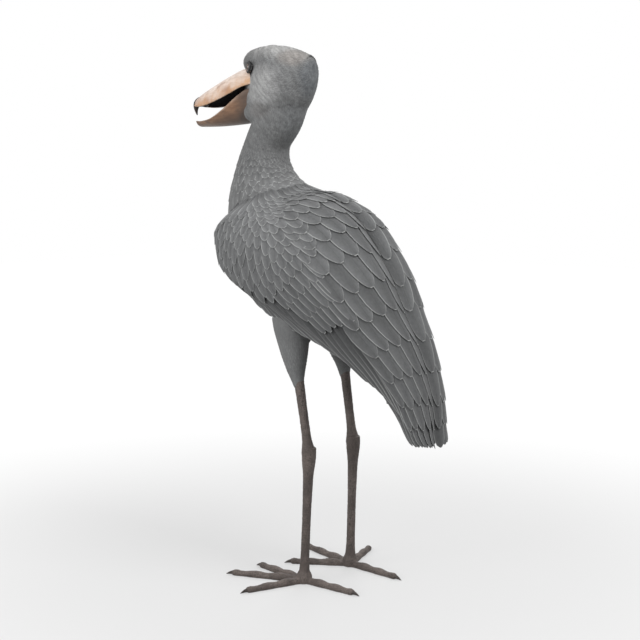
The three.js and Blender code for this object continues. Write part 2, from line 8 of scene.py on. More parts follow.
import bpy
import numpy as np
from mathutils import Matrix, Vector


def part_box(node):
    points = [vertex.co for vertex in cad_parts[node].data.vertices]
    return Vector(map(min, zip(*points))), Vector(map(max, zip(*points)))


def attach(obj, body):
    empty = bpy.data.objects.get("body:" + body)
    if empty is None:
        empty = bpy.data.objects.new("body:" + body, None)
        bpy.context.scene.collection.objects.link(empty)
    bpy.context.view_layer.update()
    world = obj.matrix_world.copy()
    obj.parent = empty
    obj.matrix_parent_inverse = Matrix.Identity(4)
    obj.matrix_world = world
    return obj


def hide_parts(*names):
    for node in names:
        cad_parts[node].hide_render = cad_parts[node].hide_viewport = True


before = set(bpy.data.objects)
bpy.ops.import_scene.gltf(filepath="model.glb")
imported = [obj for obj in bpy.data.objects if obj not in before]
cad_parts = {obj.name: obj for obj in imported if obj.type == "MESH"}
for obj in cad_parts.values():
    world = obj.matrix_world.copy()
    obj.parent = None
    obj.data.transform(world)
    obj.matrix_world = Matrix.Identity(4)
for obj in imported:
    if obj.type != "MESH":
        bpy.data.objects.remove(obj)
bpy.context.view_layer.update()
EYE = np.array([39.0, -163.0, 1104.0])
EYE_RADIUS = 11.0
eye_low, eye_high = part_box("eye_l")
SHIFT = np.array((eye_low + eye_high) / 2) * 1000 - EYE
SEED = 21
draw = np.random.default_rng(SEED)
print("the solids stand", np.round(SHIFT, 1), "mm from the bird's own frame")

# %% [markdown]
# ## Camera and lamps
# The bird is seen from behind its left shoulder, from a little above its back. A camera can
# follow a target by a constraint, but a place on a ring round the bird and two angles say the
# same in numbers that are easy to adjust. Three large, weak lamps stand in for the soft boxes of
# a studio: the larger a lamp is, the softer are its shadows.

# %% Camera
CAMERA_TURN = 130.0
CAMERA_FAR = 2481.0
CAMERA_HIGH = 852.0
CAMERA_PITCH = -6.7
LENS = 64.97


def in_metres(points):
    """Place in the solids' frame, metres = (millimetres + shift) / 1000."""
    return (np.asarray(points, float) + SHIFT) / 1000


def compass(degrees, far, high):
    """Point on a ring round the bird: (far sin turn, -far cos turn, high)."""
    turn = np.radians(degrees)
    return np.array([far * np.sin(turn), -far * np.cos(turn), high])


camera = bpy.data.objects.new("camera", bpy.data.cameras.new("camera"))
camera.data.lens = LENS
camera.location = in_metres(compass(CAMERA_TURN, CAMERA_FAR, CAMERA_HIGH))
camera.rotation_euler = np.radians([90 + CAMERA_PITCH, 0, CAMERA_TURN])
bpy.context.scene.collection.objects.link(camera)
bpy.context.scene.camera = camera
print("camera at", [round(v, 3) for v in camera.location])

# %% Lamps
# Turn in degrees, distance and height in millimetres, size in metres, power in watts.
LAMPS = {
    "key": dict(turn=182, far=2300, high=2700, size=1.4, power=60),
    "fill": dict(turn=82, far=2600, high=1600, size=2.2, power=54),
    "rim": dict(turn=-60, far=2400, high=2400, size=1.6, power=30),
}
LAMP_AIM = (0, 0, 650)


def aim(lamp, target):
    """Turn a lamp so that its -Z axis points at the target."""
    way = lamp.location - target
    lamp.rotation_euler = way.to_track_quat("Z", "Y").to_euler()


target = camera.location.copy()
target[:] = in_metres(LAMP_AIM)
for name, plan in LAMPS.items():
    lamp = bpy.data.objects.new(name, bpy.data.lights.new(name, "AREA"))
    lamp.data.size = plan["size"]
    lamp.data.energy = plan["power"]
    lamp.location = in_metres(compass(plan["turn"], plan["far"], plan["high"]))
    aim(lamp, target)
    bpy.context.scene.collection.objects.link(lamp)
bpy.context.scene.view_settings.view_transform = "Standard"
print(len(LAMPS), "lamps")

# %% [markdown]
# ## Curves and meshes
# A bird's outline is one flowing curve from crown to tail. It could be sculpted, but a table of a
# few measured stations with a smooth curve through its rows is easier to correct. A few helpers
# carry the whole lesson: such a curve, a place on the body, and a mesh from arrays.

# %% Smooth tables
def smoothstep(x, low, high):
    """3t^2 - 2t^3, where t is x's share of the way from low to high."""
    t = np.clip((x - low) / (high - low), 0, 1)
    return t * t * (3 - 2 * t)


def mix(a, b, share):
    """a + (b - a) share."""
    return a + (b - a) * share


def through(table, u):
    """Catmull-Rom curve through the rows: for rows a, b, c, d round u and t = u - floor(u),
    b + t/2 (c - a + t (2a - 5b + 4c - d + t (3b - 3c + d - a)))."""
    table = np.asarray(table, float)
    rows = np.vstack([2 * table[0] - table[1], table, 2 * table[-1] - table[-2]])
    i = np.clip(np.floor(u).astype(int), 0, len(table) - 2)
    t = (np.asarray(u, float) - i)[..., None]
    a, b, c, d = (rows[i + k] for k in range(4))
    return b + 0.5 * t * (c - a + t * (2 * a - 5 * b + 4 * c - d + t * (3 * (b - c) + d - a)))


# %% The body's own coordinates
# Stations from the skull to the wing tips: y, z, and the skin's distance from that centre to
# each side, to the back and to the belly.
SPINE = [
    (-104, 1060, 50, 74, 50),
    (-118, 1000, 48, 61, 54),
    (-150, 942, 51, 51, 52),
    (-162, 882, 64, 74, 70),
    (-150, 820, 88, 100, 104),
    (-110, 750, 104, 134, 140),
    (-50, 690, 112, 150, 146),
    (10, 635, 112, 146, 132),
    (75, 580, 104, 126, 92),
    (138, 522, 88, 96, 44),
    (198, 468, 68, 68, 42),
    (246, 410, 54, 40, 36),
    (280, 345, 44, 14, 26),
]


NUDGE = 0.02


def spine_at(u):
    """Centre, reaches and unit direction (dy, dz) of the spine at station u. The direction is
    the step from a nudge before the station to a nudge after it."""
    u = np.asarray(u)
    step = through(SPINE, u + NUDGE)[..., :2] - through(SPINE, u - NUDGE)[..., :2]
    return through(SPINE, u), step / np.linalg.norm(step, axis=-1, keepdims=True)


def on_body(u, degrees, height=0.0):
    """Point round the spine: x = (side + h) sin a, and (back or belly + h) cos a across the
    spine's direction, with a = 0 on the back and 180 on the belly."""
    u, degrees, height = np.broadcast_arrays(u, degrees, height)
    here, along = spine_at(u)
    y, z, side, back, belly = np.moveaxis(here, -1, 0)
    angle = np.radians(degrees)
    reach = np.where(np.cos(angle) > 0, back, belly) + height
    rise = reach * np.cos(angle)
    return np.stack(
        [(side + height) * np.sin(angle), y - along[..., 1] * rise, z + along[..., 0] * rise], -1
    )


print("spine of", len(SPINE), "stations")

# %% Meshes from arrays
def new_mesh(name, points, quads, tris=()):
    """Smooth-shaded mesh from points in the bird's millimetres, with four-cornered and
    three-cornered faces."""
    quads = np.asarray(quads, np.int32).reshape(-1, 4)
    tris = np.asarray(tris, np.int32).reshape(-1, 3)
    corners = np.concatenate([quads.ravel(), tris.ravel()])
    sizes = np.concatenate([np.full(len(quads), 4), np.full(len(tris), 3)]).astype(np.int32)
    starts = (np.cumsum(sizes) - sizes).astype(np.int32)
    mesh = bpy.data.meshes.new(name)
    mesh.vertices.add(len(points))
    mesh.vertices.foreach_set("co", in_metres(points).astype(np.float32).ravel())
    mesh.loops.add(len(corners))
    mesh.loops.foreach_set("vertex_index", corners)
    mesh.polygons.add(len(sizes))
    mesh.polygons.foreach_set("loop_start", starts)
    mesh.polygons.foreach_set("use_smooth", np.ones(len(sizes), bool))
    mesh.update(calc_edges=True)
    mesh.validate()
    return mesh


def show(name, mesh, material, slot, *nodes):
    """A finished piece: it rides on the one body and stands for the named solids."""
    piece = bpy.data.objects.new(name, mesh)
    bpy.context.scene.collection.objects.link(piece)
    mesh.materials.append(material)
    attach(piece, "root")
    if nodes:
        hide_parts(*nodes)
    mesh.calc_loop_triangles()
    print(name, len(mesh.loop_triangles), "triangles")
    return piece


def outward(points, quads):
    """Faces turned so that the volume, the sum of a . (b x c) / 6 over triangles, is positive."""
    a, b, c, d = (points[quads[:, k]] for k in range(4))
    volume = np.einsum("ij,ij->", a, np.cross(b, c)) + np.einsum("ij,ij->", a, np.cross(c, d))
    return quads[:, ::-1] if volume < 0 else quads


def grid_quads(rows, columns, closed=False):
    """Corners of the faces of a grid of points, row by row."""
    r = np.arange(rows - 1)[:, None]
    c = np.arange(columns if closed else columns - 1)[None, :]
    d = (c + 1) % columns
    four = [r * columns + c, r * columns + d, (r + 1) * columns + d, (r + 1) * columns + c]
    return np.stack(np.broadcast_arrays(*four), -1).reshape(-1, 4)


def capped(rings):
    """Closed tube: rings of points, with a fan of triangles to the middle of each end ring. The
    faces are turned outwards where most of them look at the middle of all points."""
    rows, columns = rings.shape[:2]
    points = np.concatenate([rings.reshape(-1, 3), rings[:1].mean(1), rings[-1:].mean(1)])
    quads = grid_quads(rows, columns, closed=True)
    j = np.arange(columns)
    k = (j + 1) % columns
    first, last, end = rows * columns, rows * columns + 1, (rows - 1) * columns
    low = np.stack([np.full(columns, first), k, j], -1)
    high = np.stack([np.full(columns, last), end + j, end + k], -1)
    tris = np.concatenate([low, high])
    a, b, c = (points[quads[:, i]] for i in (0, 1, 2))
    if np.einsum("ij,ij->", a - points.mean(0), np.cross(b - a, c - a)) < 0:
        return points, quads[:, ::-1], tris[:, ::-1]
    return points, quads, tris


def sphere(rows, columns, gap):
    """Rings of a unit sphere, (sin p cos t, sin p sin t, cos p), open by a small angle at each
    pole."""
    p = np.linspace(gap, np.pi - gap, rows)[:, None]
    t = np.linspace(0, 2 * np.pi, columns, endpoint=False)[None, :]
    return np.stack(np.broadcast_arrays(np.sin(p) * np.cos(t), np.sin(p) * np.sin(t), np.cos(p)), -1)


def ball(centre, radii):
    """Ellipsoid: centre + radii times the unit sphere."""
    return capped(np.asarray(centre) + np.asarray(radii) * sphere(24, 32, 0.06))


def joined(shapes):
    """Points, quads and triangles of several shapes as one."""
    count = np.cumsum([0] + [len(s[0]) for s in shapes])
    points = np.concatenate([s[0] for s in shapes])
    quads = np.concatenate([s[1] + n for s, n in zip(shapes, count)])
    tris = np.concatenate([s[2] + n for s, n in zip(shapes, count)])
    return points, quads, tris


def slab(top, bottom):
    """Closed plate between two grids of the same size."""
    rows, columns = top.shape[:2]
    points = np.concatenate([top.reshape(-1, 3), bottom.reshape(-1, 3)])
    half = rows * columns
    upper = grid_quads(rows, columns)
    index = np.arange(half).reshape(rows, columns)
    rim = np.concatenate([index[0], index[1:, -1], index[-1, -2::-1], index[-2:0:-1, 0]])
    turn = np.roll(rim, -1)
    wall = np.stack([turn, rim, rim + half, turn + half], -1)
    quads = np.concatenate([upper, upper[:, ::-1] + half, wall])
    return points, outward(points, quads), np.zeros((0, 3), int)


def remeshed(name, shape, voxel, rounds):
    """One watertight skin round overlapping closed shapes, with its joins smoothed."""
    rough = bpy.data.objects.new(name, new_mesh(name, *shape))
    bpy.context.scene.collection.objects.link(rough)
    remesh = rough.modifiers.new("skin", "REMESH")
    remesh.mode = "VOXEL"
    remesh.voxel_size = voxel / 1000
    remesh.use_smooth_shade = True
    soften = rough.modifiers.new("soften", "SMOOTH")
    soften.iterations = rounds
    made = bpy.data.meshes.new_from_object(
        rough.evaluated_get(bpy.context.evaluated_depsgraph_get())
    )
    bpy.data.objects.remove(rough)
    return made


def points_of(mesh):
    """The mesh's points, in the bird's millimetres."""
    flat = np.zeros(len(mesh.vertices) * 3, np.float32)
    mesh.vertices.foreach_get("co", flat)
    return flat.reshape(-1, 3).astype(float) * 1000 - SHIFT


def move_points(mesh, points):
    """Put the mesh's points at new places, given in the bird's millimetres."""
    mesh.vertices.foreach_set("co", in_metres(points).astype(np.float32).ravel())
    mesh.update()


def with_values(mesh, **values):
    """Store one float per point under each name."""
    for label, numbers in values.items():
        own = mesh.attributes.new(label, "FLOAT", "POINT")
        own.data.foreach_set("value", np.asarray(numbers, np.float32))
    return mesh


print("mesh helpers ready")

# %% [markdown]
# ## Materials
# Plumage, horn, scaled skin and the eye are node materials. A painted picture could carry the
# same colours, but noise and distances that are worked out from the place on the bird stay sharp
# at any size, and need no picture. What several materials share is a node group, built once: the
# bird's markings by place, and the pale rim, dark shaft and barbs of a vane.

# %% Node helpers
COLOUR = "NodeSocketColor"
NUMBER = "NodeSocketFloat"


class Nodes:
    """Short ways to add and join the nodes of one tree."""

    def __init__(self, tree):
        self.tree = tree

    def feed(self, socket, value):
        """Link a socket, or set a number, a vector given as a list or a colour given as a tuple."""
        if isinstance(value, bpy.types.NodeSocket):
            self.tree.links.new(value, socket)
        elif isinstance(value, tuple):
            socket.default_value = (*value, 1)
        else:
            socket.default_value = value

    def add(self, kind, feeds=None, **settings):
        """A new node, with its settings made first and its inputs fed after them."""
        node = self.tree.nodes.new(kind)
        for key, setting in settings.items():
            setattr(node, key, setting)
        for label, value in (feeds or {}).items():
            self.feed(node.inputs[label], value)
        return node

    def math(self, kind, *values, clamp=False):
        """Math node on sockets or numbers."""
        feeds = dict(enumerate(values))
        return self.add("ShaderNodeMath", feeds, operation=kind, use_clamp=clamp).outputs[0]

    def plus(self, a, b, clamp=False):
        """a + b."""
        return self.math("ADD", a, b, clamp=clamp)

    def less(self, a, b):
        """a - b."""
        return self.math("SUBTRACT", a, b)

    def times(self, a, b):
        """a b."""
        return self.math("MULTIPLY", a, b)

    def vector(self, kind, *values):
        """Vector Math node on sockets or lists."""
        return self.add("ShaderNodeVectorMath", dict(enumerate(values)), operation=kind).outputs

    def tint(self, share, a, b, kind="MIX"):
        """Colour a + (b - a) share, or with kind MULTIPLY the share of a b in place of a."""
        feeds = {0: share, 6: a, 7: b}
        return self.add("ShaderNodeMix", feeds, data_type="RGBA", blend_type=kind).outputs[2]

    def shade(self, a, b):
        """Colour a b."""
        return self.tint(1.0, a, b, "MULTIPLY")

    def ramp(self, value, low, high, start=0.0, end=1.0):
        """Smooth step from start, where the value is low, to end, where it is high."""
        feeds = {"Value": value, "From Min": low, "From Max": high, "To Min": start, "To Max": end}
        return self.add("ShaderNodeMapRange", feeds, interpolation_type="SMOOTHSTEP").outputs["Result"]

    def grain(self, place, scale, detail=3.0, rough=0.5):
        """Noise at a scale per metre."""
        feeds = {"Vector": place, "Scale": scale, "Detail": detail, "Roughness": rough}
        return self.add("ShaderNodeTexNoise", feeds).outputs["Fac"]

    def place(self):
        """The piece's own coordinates, in metres."""
        return self.add("ShaderNodeTexCoord").outputs["Object"]

    def own(self, label):
        """A number that the mesh stores at each point."""
        return self.add("ShaderNodeAttribute", attribute_name=label).outputs["Fac"]

    def bump(self, body, height, strength, distance):
        """Relief from a height, through a Bump node."""
        feeds = {"Strength": strength, "Distance": distance, "Height": height}
        self.feed(body["Normal"], self.add("ShaderNodeBump", feeds).outputs[0])


def group(name, inputs, outputs):
    """An empty shader group with named sockets, (name, kind, default) and (name, kind): its
    nodes, what it is given and what it has made."""
    tree = bpy.data.node_groups.new(name, "ShaderNodeTree")
    for label, kind, value in inputs:
        socket = tree.interface.new_socket(label, in_out="INPUT", socket_type=kind)
        socket.default_value = value
    for label, kind in outputs:
        tree.interface.new_socket(label, in_out="OUTPUT", socket_type=kind)
    nodes = Nodes(tree)
    return nodes, nodes.add("NodeGroupInput").outputs, nodes.add("NodeGroupOutput").inputs


def shader(name, looks):
    """A new material with looks set on its Principled shader: the material, the shader's
    sockets and its nodes."""
    material = bpy.data.materials.new(name)
    material.use_nodes = True
    nodes = Nodes(material.node_tree)
    body = material.node_tree.nodes["Principled BSDF"].inputs
    for label, value in looks.items():
        nodes.feed(body[label], value)
    return material, body, nodes


# %% [markdown]
# ## Markings by place
# The bird is slate grey, with a paler cheek, a brown tinge at the rear of the crown, a dark nape,
# and dark bare skin round the eye. The crown is paler as well, partly its own grey and partly
# painted light from above, and the corners of the mouth carry painted shade. Painting would need
# one unwrap for the skin and for thousands of feathers. Soft ellipsoids in space colour both
# alike, wherever a feather lies.

# %% Markings by place
# Each patch: centre and radii in millimetres, mirrored in x, then its tint and strength.
PATCHES = [
    ((0, -150, 905), (90, 90, 95), (0.14, 0.142, 0.143), 0.7),
    ((30, -120, 1062), (66, 60, 52), (0.44, 0.44, 0.438), 0.9),
    # the crown: partly its own paler grey, partly painted light from above
    ((0, -112, 1146), (66, 76, 34), (0.44, 0.437, 0.43), 0.9),
    ((30, -44, 1124), (44, 44, 26), (0.30, 0.275, 0.255), 0.75),
    ((0, -12, 1072), (44, 40, 58), (0.15, 0.16, 0.17), 0.9),
    ((42, -118, 1112), (30, 40, 8), (0.20, 0.203, 0.206), 0.7),
    ((46, -132, 1012), (34, 34, 20), (0.20, 0.19, 0.185), 0.6),
    ((0, -66, 985), (50, 36, 60), (0.17, 0.178, 0.184), 0.6),
    ((42, -168, 1101), (17, 23, 19), (0.022, 0.022, 0.023), 0.97),
    # painted shade in the corner of the mouth, where the bill meets the face
    ((22, -186, 1062), (22, 15, 15), (0.02, 0.018, 0.018), 0.95),
]
PATCH_FADE = (0.75, 1.45)
STREAK_TILT = -48
STREAK_STRETCH = 5.0
STREAKS_FROM = (880, 980)


def bird_markings():
    """Tint by place: patches that fade with |(place - centre) / radii| + noise / 2, then small
    flecks, and streaks along the slope of the head and neck."""
    ground = (0.2, 0.2, 0.2, 1)
    nodes, given, made = group("bird_markings", [("Ground", COLOUR, ground)], [("Color", COLOUR)])
    place = nodes.place()
    split = nodes.add("ShaderNodeSeparateXYZ", {0: place}).outputs
    side = nodes.math("ABSOLUTE", nodes.less(split["X"], float(SHIFT[0]) / 1000))
    folded = nodes.add("ShaderNodeCombineXYZ", {"X": side, "Y": split["Y"], "Z": split["Z"]}).outputs[0]
    wander = nodes.times(nodes.grain(place, 38, 4, 0.6), 0.5)
    tint = given["Ground"]
    for centre, radii, colour, strength in PATCHES:
        middle = (np.array(centre) + SHIFT * [0, 1, 1]) / 1000
        off = nodes.vector("SUBTRACT", folded, list(middle))[0]
        off = nodes.vector("DIVIDE", off, [radius / 1000 for radius in radii])[0]
        far = nodes.plus(nodes.vector("LENGTH", off)["Value"], wander)
        tint = nodes.tint(nodes.ramp(far, *PATCH_FADE, strength, 0.0), tint, colour)
    flecks = nodes.ramp(nodes.grain(place, 170, 3, 0.65), 0.3, 0.7, 0.35, 1.0)
    tint = nodes.tint(0.22, tint, flecks, "MULTIPLY")
    sweep = {"Vector": folded, "Rotation": [np.radians(STREAK_TILT), 0, 0], "Scale": [1, STREAK_STRETCH, 1]}
    swept = nodes.add("ShaderNodeMapping", sweep, vector_type="TEXTURE").outputs[0]
    streaks = nodes.ramp(nodes.grain(swept, 150, 4, 0.6), 0.34, 0.66, 0.72, 1.14)
    low, high = (float(z + SHIFT[2]) / 1000 for z in STREAKS_FROM)
    upwards = nodes.ramp(split["Z"], low, high, 0.1, 0.9)
    nodes.feed(made["Color"], nodes.tint(upwards, tint, streaks, "MULTIPLY"))
    return nodes.tree


MARKINGS = bird_markings()
print("markings of", len(PATCHES), "patches")

# %% [markdown]
# ## The vane's own pattern
# A feather has a fine shaft and slanting barbs, and this bird's feathers end in a pale rim. Its
# root, where the feather above covers it, gets painted shade. Each vane carries an unwrap named
# Vane: x runs from 0 at the root to 1 at the tip, and y from 0 to 1 across, with the shaft at 0.5.
# Its length and half-width in millimetres are stored on its points, so that the rim is equally
# wide on every feather.

# %% The vane of a feather
RIM_FADE = (0.9, 2.1)
SHAFT_FADE = (0.2, 0.5)
SHAFT_TINT = (0.05, 0.051, 0.053)
BARB_SLANT = 1.6
BARB_WAVES = 260.0


def vane_pattern():
    """Colour and height of a vane: painted shade at the covered root, one tone for each feather, a
    darker middle, the shaft, the pale rim, and barbs as a sine of (slant across - along). A low
    edging also makes the other marks softer."""
    nodes, given, made = group(
        "vane_pattern",
        [("Color", COLOUR, (0.2, 0.2, 0.2, 1)), ("Rim", COLOUR, (0.4, 0.4, 0.4, 1)),
         ("Edging", NUMBER, 1.0), ("Tone", NUMBER, 0.0), ("Length", NUMBER, 30.0), ("Wide", NUMBER, 8.0)],
        [("Color", COLOUR), ("Height", NUMBER)],
    )
    uv = nodes.add("ShaderNodeUVMap", uv_map="Vane").outputs[0]
    split = nodes.add("ShaderNodeSeparateXYZ", {0: uv}).outputs
    along = split["X"]
    across = nodes.math("ABSOLUTE", nodes.less(split["Y"], 0.5))
    from_side = nodes.times(nodes.less(1.0, nodes.times(across, 2.0)), given["Wide"])
    from_tip = nodes.times(nodes.less(1.0, along), given["Length"])
    rim = nodes.ramp(nodes.math("MINIMUM", from_side, from_tip), *RIM_FADE, 1.0, 0.0)
    rim = nodes.times(nodes.times(rim, nodes.ramp(along, 0.3, 0.75)), given["Edging"])
    soft = nodes.plus(nodes.times(given["Edging"], 0.8), 0.2, clamp=True)
    shaft = nodes.ramp(nodes.times(across, given["Wide"]), *SHAFT_FADE, 1.0, 0.0)
    shaft = nodes.times(shaft, soft)
    barbs = nodes.plus(nodes.times(across, BARB_SLANT), nodes.times(along, -1.0))
    barbs = nodes.math("SINE", nodes.times(barbs, BARB_WAVES))
    # painted shade towards the root, where the feather above covers it
    root = nodes.times(nodes.ramp(along, 0.0, 0.85, 0.5, 0.0), soft)
    tint = nodes.shade(given["Color"], nodes.less(1.0, root))
    tone = nodes.times(nodes.less(given["Tone"], 0.5), 0.26)
    tint = nodes.shade(tint, nodes.plus(nodes.times(tone, soft), 1.0))
    margin = nodes.ramp(across, 0.08, 0.5, 0.76, 1.12)
    tint = nodes.tint(soft, tint, nodes.shade(tint, margin))
    tint = nodes.tint(nodes.times(shaft, 0.4), tint, SHAFT_TINT)
    tint = nodes.tint(rim, tint, given["Rim"])
    tint = nodes.shade(tint, nodes.plus(nodes.times(barbs, 0.05), 0.97))
    nodes.feed(made["Color"], tint)
    nodes.feed(made["Height"], nodes.plus(nodes.times(barbs, 0.4), shaft))
    return nodes.tree


VANE_PATTERN = vane_pattern()
print("vane pattern of", len(VANE_PATTERN.nodes), "nodes")

# %% [markdown]
# ## Plumage and down
# Plumage is matt with a faint silky sheen. The down under it is the same grey, darker and
# rougher, because it shows only as the shadow in the gaps between feathers.

# %% Plumage materials
GREY = (0.185, 0.188, 0.189)
SLATE = (0.142, 0.145, 0.147)
PALE_RIM = (0.40, 0.405, 0.40)
DULL_RIM = (0.33, 0.335, 0.33)
DOWN_SHADE = (0.85, 0.85, 0.85)


def plumage(name, ground, rim, relief):
    """Feathers: markings by place, then the vane's own pattern."""
    material, body, nodes = shader(name, {
        "Roughness": 0.88, "Specular IOR Level": 0.25, "Sheen Weight": 0.12, "Sheen Roughness": 0.6,
    })
    marks = nodes.add("ShaderNodeGroup", {"Ground": ground}, node_tree=MARKINGS).outputs["Color"]
    feeds = {label: nodes.own(label.lower()) for label in ("Edging", "Tone", "Length", "Wide")}
    vane = nodes.add("ShaderNodeGroup", {"Color": marks, "Rim": rim, **feeds}, node_tree=VANE_PATTERN)
    nodes.feed(body["Base Color"], vane.outputs["Color"])
    nodes.bump(body, vane.outputs["Height"], relief, 0.0004)
    return material


def skin_material():
    """The skin under the feathers: the same markings, darker, with a downy grain."""
    material, body, nodes = shader("skin_down", {"Roughness": 0.95})
    marks = nodes.add("ShaderNodeGroup", {"Ground": GREY}, node_tree=MARKINGS).outputs["Color"]
    nodes.feed(body["Base Color"], nodes.shade(marks, DOWN_SHADE))
    nodes.bump(body, nodes.grain(nodes.place(), 420), 0.5, 0.0006)
    return material


BODY_FEATHER = plumage("body_feather", GREY, PALE_RIM, 0.25)
WING_FEATHER = plumage("wing_feather", SLATE, DULL_RIM, 0.35)
DOWN = skin_material()
print("plumage materials:", BODY_FEATHER.name, WING_FEATHER.name, DOWN.name)

# %% [markdown]
# ## The skin
# Under the feathers lies one skin for head, neck, trunk, thighs, folded wings and tail. Joining
# each limb by hand would leave a seam wherever two tubes meet. Instead, closed forms overlap
# freely, a voxel remesh fuses them into one watertight skin, and smoothing rounds the joins.
# The forms are sunk by the depth of the coat that comes to lie on them.

# %% Folded wing
# The wing's lower edge: station along the spine and degrees from the back.
WING_EDGE = np.array([
    (4.2, 102), (4.6, 120), (5.2, 128), (6, 124), (7, 116), (8, 112), (10, 116), (11.4, 112), (12.4, 100)
])
WING_FROM = -2


def wing_edge(u):
    """The wing's lower edge, in degrees from the back."""
    return np.interp(u, WING_EDGE[:, 0], WING_EDGE[:, 1])


def wing_top(u, degrees):
    """Height of the wing over the skin: 3 + (40 + shoulder) times a rise from the midline, a
    fall down the flank, a brim at the lower edge and a taper along the body."""
    fall = 1 - mix(0.1, 0.6, smoothstep(u, 6, 9)) * smoothstep(degrees, 40, 110)
    brim = mix(0.4, 1, smoothstep(wing_edge(u) - degrees, 0, 14))
    start = mix(smoothstep(u, 4.3, 7.2), smoothstep(u, 4.0, 4.6), smoothstep(degrees, 50, 95))
    shoulder = 14 * smoothstep(degrees, 70, 105) * (1 - smoothstep(u, 5.2, 7))
    along_wing = start * (1 - 0.6 * smoothstep(u, 8.4, 12))
    return 3 + (40 + shoulder) * smoothstep(degrees, -24, 26) * fall * brim * along_wing


def wing_bed(way):
    """Solid bed of one wing, from inside the trunk to 8.5 mm under the wing's top, and deeper
    under it towards the tip."""
    u = np.linspace(4.3, 11.6, 90)[:, None]
    degrees = mix(WING_FROM, wing_edge(u) - 3, np.linspace(0, 1, 50)[None, :])
    top = on_body(u, degrees, wing_top(u, degrees) - mix(8.5, 26, smoothstep(u, 10.2, 11.6)))
    low = on_body(u, degrees, mix(-12, -3, smoothstep(u, 9, 11)))
    return slab(top * [way, 1, 1], low * [way, 1, 1])


print("the wing stands up to", round(float(wing_top(6.0, 70.0))), "mm over the trunk")


# %% Head
# Slices from the nape to the base of the bill: y, z, and the distance from that centre to each
# side, to the top and to the bottom. The pads fill brow, cheek and jowl on both sides.
HEAD = [
    (-19, 1090, 20, 26, 34),
    (-36, 1082, 36, 47, 56),
    (-66, 1072, 54, 69, 76),
    (-104, 1068, 63, 82.5, 82),
    (-140, 1066, 56, 81, 80),
    (-168, 1064, 42, 71, 76),
    (-190, 1062, 33, 54, 66),
]
HEAD_PADS = [
    ((12, -162, 1117), (30, 40, 30)),
    ((13, -144, 1120), (33, 44, 29.5)),
    ((16, -120, 1118), (34, 40, 32.5)),
    ((27, -156, 1009), (19, 37, 24)),
    ((30, -150, 1034), (17, 32, 40)),
    ((34, -122, 1040), (22, 38, 42)),
]


def on_head(v, degrees, height=0.0):
    """Point on the skull's slice v: x = (side + h) sin a, z = centre + (top or bottom + h) cos a."""
    v, degrees, height = np.broadcast_arrays(v, degrees, height)
    y, z, side, top, bottom = np.moveaxis(through(HEAD, v), -1, 0)
    angle = np.radians(degrees)
    reach = np.where(np.cos(angle) > 0, top, bottom) + height
    return np.stack([(side + height) * np.sin(angle), y, z + reach * np.cos(angle)], -1)


print("head of", len(HEAD), "slices and", 2 * len(HEAD_PADS), "pads")

# %% Legs
# The leg's marks in millimetres, and for each toe its length and its heading in degrees.
LEGS = {
    "l": dict(
        hip=(74, -18, 575), knee=(88, 8, 466), thigh_end=(89, 17, 426), ankle=(84, 41, 290),
        foot=(79, 22, 16),
        toes=dict(inner=(141, -6), middle=(165, 22.5), outer=(135, 68), hind=(129, 183)),
    ),
    "r": dict(
        hip=(-68, -22, 575), knee=(-76, 4, 466), thigh_end=(-74, 10, 426), ankle=(-66, 41, 290),
        foot=(-71, 29, 16),
        toes=dict(inner=(134, 33), middle=(163, -12.5), outer=(122, -73), hind=(132, 177)),
    ),
}


def tube_frames(path, turn=0.0):
    """Unit side and up vectors across a path: side is X turned about Z, cleared of the path's
    own direction, and up is direction x side."""
    step = np.gradient(path, axis=0)
    step /= np.linalg.norm(step, axis=1, keepdims=True)
    side = np.array([np.cos(turn), np.sin(turn), 0.0])
    side = side - (step @ side)[:, None] * step
    side /= np.linalg.norm(side, axis=1, keepdims=True)
    return side, np.cross(step, side)


def limb(path, radii, columns=32, turn=0.0):
    """Rings of the given radii across a path."""
    side, up = tube_frames(path, turn)
    angle = np.linspace(0, 2 * np.pi, columns, endpoint=False)[None, :, None]
    radii = np.asarray(radii, float)
    radii = radii[:, None, None] if radii.ndim == 1 else radii[:, :, None]
    ring = np.cos(angle) * side[:, None] + np.sin(angle) * up[:, None]
    return path[:, None] + radii * ring


# The thigh's radii, where its path is 0 at the hip, 1 at the knee and 2 at the thigh's end.
THIGH_MARKS = [0, 0.25, 0.5, 0.75, 1, 1.5, 2]
THIGH_RADII = [44, 42, 36, 29.5, 22, 16, 10.8]


def thigh_path(leg, count=60):
    """From hip to knee to the thigh's end, with its radii."""
    marks = np.array([leg["hip"], leg["knee"], leg["thigh_end"]], float)
    at = np.linspace(0, 2, count)
    path = np.stack([np.interp(at, [0, 1, 2], marks[:, k]) for k in range(3)], -1)
    return path, np.interp(at, THIGH_MARKS, THIGH_RADII)


print("legs:", len(LEGS), "with", len(LEGS["l"]["toes"]), "toes each")


# %% One skin
HEAD_COAT = 1.6
BODY_COAT = 4.5
THIGH_COAT = 2.5
SKIN_VOXEL = 3.2
SKIN_ROUNDS = 5
AROUND = np.linspace(-180, 180, 96, endpoint=False)[None, :]


def trunk():
    """Neck and trunk, sunk by the depth of the coat."""
    u = np.linspace(0.2, 10.6, 190)[:, None]
    return capped(on_body(u, AROUND, -mix(HEAD_COAT, BODY_COAT, smoothstep(u, 1, 4))))


def skull():
    """The skull, sunk by its short coat."""
    return capped(on_head(np.linspace(0, 6, 90)[:, None], AROUND, -HEAD_COAT))


def tail_place(u, share, down):
    """Point of the tail's dome: x = share side, and half the smaller reach times
    sqrt(1 - share^2), less the given depth, across the spine."""
    here, along = spine_at(u)
    y, z, side, back, belly = np.moveaxis(here, -1, 0)
    share = np.clip(share, -0.98, 0.98)
    up = 0.5 * np.minimum(back, belly) * np.sqrt(1 - share**2) - down
    return np.stack([share * side, y - along[..., 1] * up, z + along[..., 0] * up], -1)


